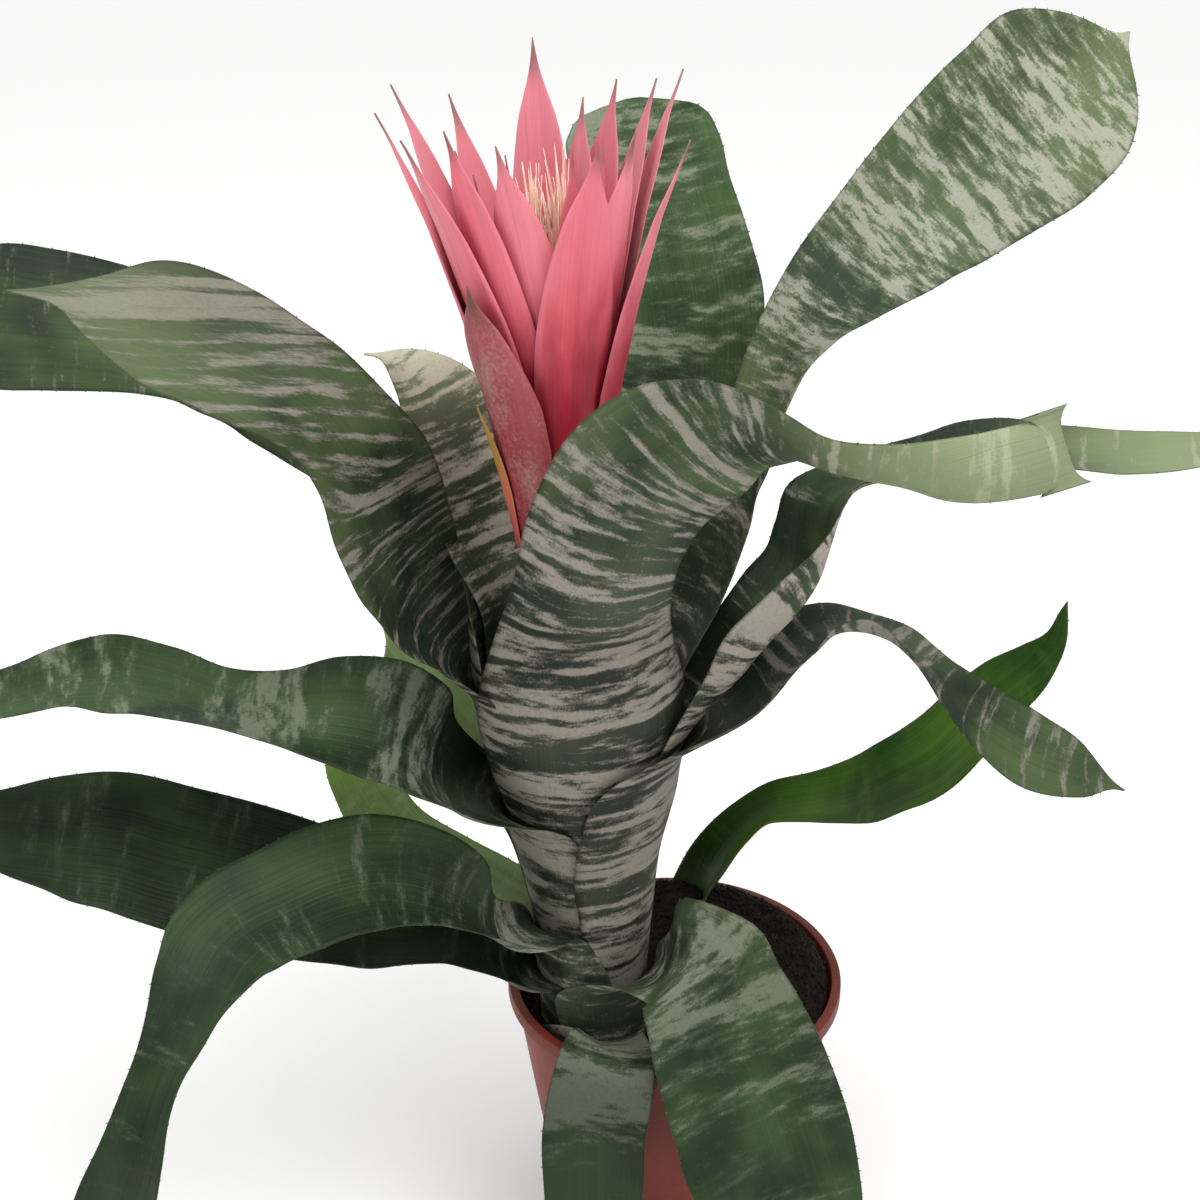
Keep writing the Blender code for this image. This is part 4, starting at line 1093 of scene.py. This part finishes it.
def buildStem():
    top = head["heights"][0]
    cup = coneRadius(top, 0) - stem["cupInset"]
    outline = [(0, -stem["buried"]), (stem["radius"], -stem["buried"]), (stem["radius"], 20 * mm),
               (stem["scape"], 60 * mm), (stem["scape"], stem["scapeTop"]), (cup, top - 3 * mm),
               (cup, top), (stem["spike"], top),
               (stem["spike"] * 0.8, mix(top, stem["spikeTop"], 0.5)),
               (stem["spike"] * 0.4, stem["spikeTop"] - 8 * mm), (0, stem["spikeTop"])]
    profile = rounded(outline, 3 * mm, 5)
    dense = [profile[0]]
    for low, high in zip(profile, profile[1:]):
        count = max(1, int(math.dist(low, high) / stem["step"]))
        dense += [tuple(mix(np.array(low), np.array(high), (i + 1) / count)) for i in range(count)]

    def lumps(angle, height):
        return stem["bumps"] * noise.noise(Vector((2 * math.cos(angle), 2 * math.sin(angle), height * 90)))

    piece = turnedPiece("stemAndScape", dense, stem["segments"], makeStemSkin(), lumps)
    facesOut(piece)
    piece.data.transform(plantPlace)
    standFor(piece, "stem")


buildStem()
print("florets and stem made")


# the pot and what it holds

pot = {
    "baseRadius": 45 * mm,
    "wall": 1.6 * mm,
    "floor": 2.4 * mm,
    "collar": 6 * mm,
    "collarStep": 2 * mm,
    "edge": 0.7 * mm,
    "segments": 144,
    "holes": 6,
    "holeRadius": 4 * mm,
    "holeRing": 0.62,  # of the base's radius
    "holeSegments": 28,
    "sharpFrom": math.radians(50),
}


def innerRadius(height):
    base = pot["baseRadius"] - pot["wall"]
    top = rimRadius - pot["collarStep"] - pot["wall"]
    return mix(base, top, (height - pot["floor"]) / (potHeight - pot["floor"]))


def buildPot():
    wallTop = rimRadius - pot["collarStep"]
    collarFoot = potHeight - pot["collar"]
    outline = [
        (0, 0),
        (pot["baseRadius"] - 6 * mm, 0),
        (pot["baseRadius"] - 5 * mm, 0.8 * mm),
        (pot["baseRadius"] - 2.2 * mm, 0.8 * mm),
        (pot["baseRadius"] - 1.8 * mm, 0),
        (pot["baseRadius"], 0),
        (mix(pot["baseRadius"], wallTop, collarFoot / potHeight), collarFoot),
        (rimRadius, collarFoot),
        (rimRadius, potHeight),
        (innerRadius(potHeight), potHeight),
        (innerRadius(pot["floor"]), pot["floor"]),
        (0, pot["floor"]),
    ]
    profile = rounded(outline, pot["edge"])
    piece = turnedPiece("potShell", profile, pot["segments"], makePotPlastic())
    facesOut(piece)
    drills = []
    radius = pot["holeRadius"]
    drillOutline = [(0, -4 * mm), (radius, -4 * mm), (radius, 8 * mm), (0, 8 * mm)]
    for k in range(pot["holes"]):
        angle = 2 * math.pi * (k + 0.4) / pot["holes"]
        ring = pot["holeRing"] * pot["baseRadius"]
        drill = turnedPiece("drill", drillOutline, pot["holeSegments"], piece.data.materials[0])
        facesOut(drill)
        drill.data.transform(Matrix.Translation((ring * math.cos(angle), ring * math.sin(angle), 0)))
        cut = piece.modifiers.new("drainHole", "BOOLEAN")
        cut.solver = "EXACT"
        cut.object = drill
        drills.append(drill)
    evaluated = piece.evaluated_get(bpy.context.evaluated_depsgraph_get())
    drilled = bpy.data.meshes.new_from_object(evaluated)
    piece.modifiers.clear()
    piece.data = drilled
    drilled.shade_smooth()
    drilled.set_sharp_from_angle(angle=pot["sharpFrom"])
    for drill in drills:
        bpy.data.objects.remove(drill)
    standFor(piece, "pot")


buildPot()

soil = {
    "mound": 15 * mm,
    "moundSide": math.radians(52),
    "moundStart": -0.2,
    "moundRun": 0.9,
    "wallStart": -0.5,
    "wallRun": 1.2,
    "wallBand": 0.16,
    "margin": 2 * mm,
    "seat": 26 * mm,
    "seatFade": 12 * mm,
    "rings": 64,
    "segments": 180,
    "lumps": 1.7 * mm,
    "crumbsPerArea": 220000,  # to the square metre
    "crumbRadius": 1.0 * mm,
    "grainsPerArea": 520000,
    "grainRadius": 0.5 * mm,
    "smallest": (0.35, 0.4, 0.3),  # of a crumb's radius, in its own three ways
    "largest": (1.5, 1.2, 1.0),
    "anyTurn": (6.28, 6.28, 6.28),
    "foot": 0.2 * mm,  # above the pot's floor
    "clearance": 0.3 * mm,  # from the pot's wall
    "lumpScale": 120,
    "pitScale": 330,
}


def soilHeight(x, y):
    along = (x * math.cos(soil["moundSide"]) + y * math.sin(soil["moundSide"])) / rimRadius
    heaped = footHeight + soil["mound"] * smooth((along - soil["moundStart"]) / soil["moundRun"])
    atWall = footHeight + (plant["soilDepth"] - soil["margin"]) * smooth(
        (along - soil["wallStart"]) / soil["wallRun"])
    band = math.hypot(x, y) / innerRadius(potHeight) - (1 - soil["wallBand"])
    heaped = mix(heaped, atWall, smooth(band / soil["wallBand"]))
    footX, footY = plant["foot"]
    seat = footHeight + (x - footX) * math.tan(math.radians(plant["lean"])) - 0.4 * mm
    return mix(seat, heaped, smooth((math.hypot(x - footX, y - footY) - soil["seat"]) / soil["seatFade"]))


def lumpHeight(x, y):
    spot = Vector((x, y, 0))
    rough = noise.fractal(spot * soil["lumpScale"], 0.9, 2.1, 4)
    pits = noise.noise(spot * soil["pitScale"])
    return soil["lumps"] * (0.6 * rough + 0.35 * pits)


def buildSoil():
    foot = pot["floor"] + soil["foot"]
    points = [(0, 0, soilHeight(0, 0)), (0, 0, foot)]
    rings = []

    def addRing(radius, heightAt):
        rings.append(range(len(points), len(points) + soil["segments"]))
        for k in range(soil["segments"]):
            angle = 2 * math.pi * k / soil["segments"]
            x, y = radius * math.cos(angle), radius * math.sin(angle)
            points.append((x, y, heightAt(x, y)))

    wall = innerRadius(footHeight) - soil["clearance"]
    for ring in range(1, soil["rings"] + 1):
        addRing(wall * ring / soil["rings"], lambda x, y: soilHeight(x, y) + lumpHeight(x, y))
    topCount = len(points)
    addRing(innerRadius(foot) - soil["clearance"], lambda x, y: foot)
    faces = []
    topFaces = []
    for k in range(soil["segments"]):
        after = (k + 1) % soil["segments"]
        topFaces.append((0, rings[0][k], rings[0][after]))
        faces.append((1, rings[-1][after], rings[-1][k]))
        for low, high in zip(rings[:-2], rings[1:-1]):
            topFaces.append((low[k], high[k], high[after], low[after]))
        faces.append((rings[-2][k], rings[-1][k], rings[-1][after], rings[-2][after]))
    skin = makeSoilSkin("soilBed")
    standFor(addPiece("soilBed", points, topFaces + faces, skin), "soil")
    # only the top, which the crumbs lie on
    return addPiece("scatterBed", points[:topCount], topFaces, skin)


def geometryTree(name, inputs):
    tree = bpy.data.node_groups.new(name, "GeometryNodeTree")
    tree.interface.new_socket(name="Geometry", in_out="INPUT", socket_type="NodeSocketGeometry")
    for label, (kind, start) in inputs.items():
        socket = tree.interface.new_socket(name=label, in_out="INPUT", socket_type=kind)
        if start is not None:
            socket.default_value = start
    tree.interface.new_socket(name="Geometry", in_out="OUTPUT", socket_type="NodeSocketGeometry")
    return tree, put(tree, "NodeGroupInput").outputs, put(tree, "NodeGroupOutput").inputs["Geometry"]


def runTree(source, tree, name, values):
    # the tree's result as a plain mesh of its own, with no modifier left
    modifier = source.modifiers.new("nodes", "NODES")
    modifier.node_group = tree
    for item in tree.interface.items_tree:
        if item.item_type == "SOCKET" and item.in_out == "INPUT" and item.name in values:
            modifier[item.identifier] = values[item.name]
    evaluated = source.evaluated_get(bpy.context.evaluated_depsgraph_get())
    mesh = bpy.data.meshes.new_from_object(evaluated)
    source.modifiers.remove(modifier)
    mesh.name = name
    return addObject(name, mesh)


def layCopies(tree, given, result, spots, shape, turn, size):
    # one shape on every spot, turned and sized, as a plain mesh of the given material
    copies = fill(tree, "GeometryNodeInstanceOnPoints", {
        "Points": spots, "Instance": shape, "Rotation": turn, "Scale": size})
    real = fill(tree, "GeometryNodeRealizeInstances", {0: copies[0]})
    coat = fill(tree, "GeometryNodeSetMaterial", {"Geometry": real[0], "Material": given["Material"]})
    feed(tree, result, coat[0])
    return tree


def makeScatterTree():
    tree, given, result = geometryTree("crumbScatter", {
        "Density": ("NodeSocketFloat", 1000.0), "Radius": ("NodeSocketFloat", 0.001),
        "Detail": ("NodeSocketInt", 1), "Seed": ("NodeSocketInt", 1),
        "Material": ("NodeSocketMaterial", None)})
    seed = given["Seed"]
    spots = fill(tree, "GeometryNodeDistributePointsOnFaces", {
        "Mesh": given["Geometry"], "Density": given["Density"], "Seed": seed})
    ball = fill(tree, "GeometryNodeMeshIcoSphere", {
        "Radius": given["Radius"], "Subdivisions": given["Detail"]})
    turn = fill(tree, "FunctionNodeRandomValue", {"Max": soil["anyTurn"], "Seed": seed},
                data_type="FLOAT_VECTOR")
    size = fill(tree, "FunctionNodeRandomValue", {
        "Min": soil["smallest"], "Max": soil["largest"], "Seed": seed}, data_type="FLOAT_VECTOR")
    return layCopies(tree, given, result, spots["Points"], ball["Mesh"], turn["Value"], size["Value"])


def buildCrumbs(bed):
    tree = makeScatterTree()
    skin = makeSoilSkin("soilCrumb")
    kinds = (("soilCrumbs", soil["crumbsPerArea"], soil["crumbRadius"], 2, 5),
             ("soilGrains", soil["grainsPerArea"], soil["grainRadius"], 1, 9))
    for name, density, radius, detail, seed in kinds:
        piece = runTree(bed, tree, name, {"Density": float(density), "Radius": radius, "Detail": detail,
                                          "Seed": seed, "Material": skin})
        roughen(piece.data, radius * 0.35)
        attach(piece, "root")
    bpy.data.objects.remove(bed)


def roughen(mesh, depth):
    # pushes each vertex in or out a little, so that no two crumbs are alike
    points = np.zeros(len(mesh.vertices) * 3, np.float32)
    mesh.vertices.foreach_get("co", points)
    points = points.reshape(-1, 3)
    waves = np.sin(points[:, [1, 2, 0]] * 2900) + np.sin(points[:, [2, 0, 1]] * 4300)
    mesh.vertices.foreach_set("co", (points + waves * depth * 0.4).astype(np.float32).ravel())
    mesh.update()


buildCrumbs(buildSoil())
print("pot and soil made")


# small hooked thorns along the leaf margins

thorns = {
    "spacing": 4.6 * mm,
    "length": 1.0 * mm,
    "radius": 0.28 * mm,
    "sides": 6,
    "smallest": 0.45,  # of the length
    "largest": 1.15,
    "rooted": 0.15 * mm,  # how far its foot is inside the margin
    "forward": 0.6,  # how much it hooks towards the leaf's tip
    "seed": 3,
}


def makeThornTree():
    tree, given, result = geometryTree("marginThorns", {
        "Spacing": ("NodeSocketFloat", 0.005), "Length": ("NodeSocketFloat", 0.001),
        "Radius": ("NodeSocketFloat", 0.0003), "Seed": ("NodeSocketInt", 1),
        "Material": ("NodeSocketMaterial", None)})
    lines = fill(tree, "GeometryNodeMeshToCurve", {0: given["Geometry"]})
    spots = fill(tree, "GeometryNodeResampleCurve", {"Curve": lines[0], "Length": given["Spacing"]},
                 mode="LENGTH")
    cone = fill(tree, "GeometryNodeMeshCone", {
        "Vertices": thorns["sides"], "Radius Bottom": given["Radius"], "Depth": given["Length"]})
    facing = fill(tree, "GeometryNodeInputNamedAttribute", {"Name": "outward"}, data_type="FLOAT_VECTOR")
    turn = fill(tree, "FunctionNodeAlignRotationToVector", {"Vector": facing["Attribute"]}, axis="Z")
    # the third and fourth inputs are the least and the most of a plain number
    size = fill(tree, "FunctionNodeRandomValue", {
        2: thorns["smallest"], 3: thorns["largest"], "Seed": given["Seed"]}, data_type="FLOAT")
    return layCopies(tree, given, result, spots[0], cone["Mesh"], turn[0], size[1])


def marginLines(margins):
    # both margins of every blade as loose edges, with the way that a thorn points
    points = []
    edges = []
    ways = []
    for grid, sheathShare in margins:
        for edge, within in ((0, 1), (-1, -2)):
            start = next(i for i, share in enumerate(sheathShare) if share < 0.75)
            line = grid[start:-3, edge]
            outward = line - grid[start:-3, within]
            outward /= np.linalg.norm(outward, axis=1)[:, None]
            ahead = np.gradient(line, axis=0)
            ahead /= np.linalg.norm(ahead, axis=1)[:, None]
            first = len(points)
            points += [tuple(p) for p in line - outward * thorns["rooted"]]
            ways += list(outward + thorns["forward"] * ahead)
            edges += [(i, i + 1) for i in range(first, len(points) - 1)]
    mesh = bpy.data.meshes.new("marginLines")
    mesh.from_pydata(points, edges, [])
    made = mesh.attributes.new("outward", "FLOAT_VECTOR", "POINT")
    made.data.foreach_set("vector", np.array(ways, np.float32).ravel())
    return addObject("marginLines", mesh)


def buildThorns(margins):
    lines = marginLines(margins)
    piece = runTree(lines, makeThornTree(), "marginThorns", {
        "Spacing": thorns["spacing"], "Length": thorns["length"], "Radius": thorns["radius"],
        "Seed": thorns["seed"], "Material": makeThornSkin()})
    bpy.data.objects.remove(lines)
    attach(piece, "root")


buildThorns(leafMargins)
print("thorns made")


# floor, soft lights and camera

studio = {
    "floorSize": 12.0,
    "floorColour": (0.92, 0.92, 0.915),
    "skyStrength": 1.0,
    "lens": 55,
    "sensorWidth": 36,
    "cameraPlace": (-0.029, -0.590, 0.550),
    "cameraPitch": 65.0,
}


def addLight(name, place, size, power, aim=(0, 0, 0.2)):
    lamp = bpy.data.lights.new(name, "AREA")
    lamp.size = size
    lamp.energy = power
    made = addObject(name, lamp)
    made.location = place
    made.rotation_euler = (Vector(aim) - Vector(place)).to_track_quat("-Z", "Y").to_euler()


def buildStage():
    half = studio["floorSize"] / 2
    made, tree, shader = startMaterial("paleFloor")
    shader.inputs["Base Color"].default_value = (*studio["floorColour"], 1)
    shader.inputs["Roughness"].default_value = 0.9
    floor = addPiece("floor", [(-half, -half, 0), (half, -half, 0), (half, half, 0), (-half, half, 0)],
                     [(0, 1, 2, 3)], made)
    sky = bpy.data.worlds.new("softSky")
    sky.use_nodes = True
    background = sky.node_tree.nodes["Background"].inputs
    background["Color"].default_value = (1, 1, 1, 1)
    background["Strength"].default_value = studio["skyStrength"]
    bpy.context.scene.world = sky
    bpy.context.scene.view_settings.view_transform = "Standard"
    addLight("keyLight", (0.45, -0.5, 1.6), 0.8, 14)
    addLight("fillLight", (-0.9, -0.4, 1.3), 1.2, 5)
    camera = addObject("camera", bpy.data.cameras.new("camera"))
    camera.data.lens = studio["lens"]
    camera.data.sensor_width = studio["sensorWidth"]
    camera.location = studio["cameraPlace"]
    camera.rotation_euler = (math.radians(studio["cameraPitch"]), 0, 0)
    bpy.context.scene.camera = camera


buildStage()
print("stage made")
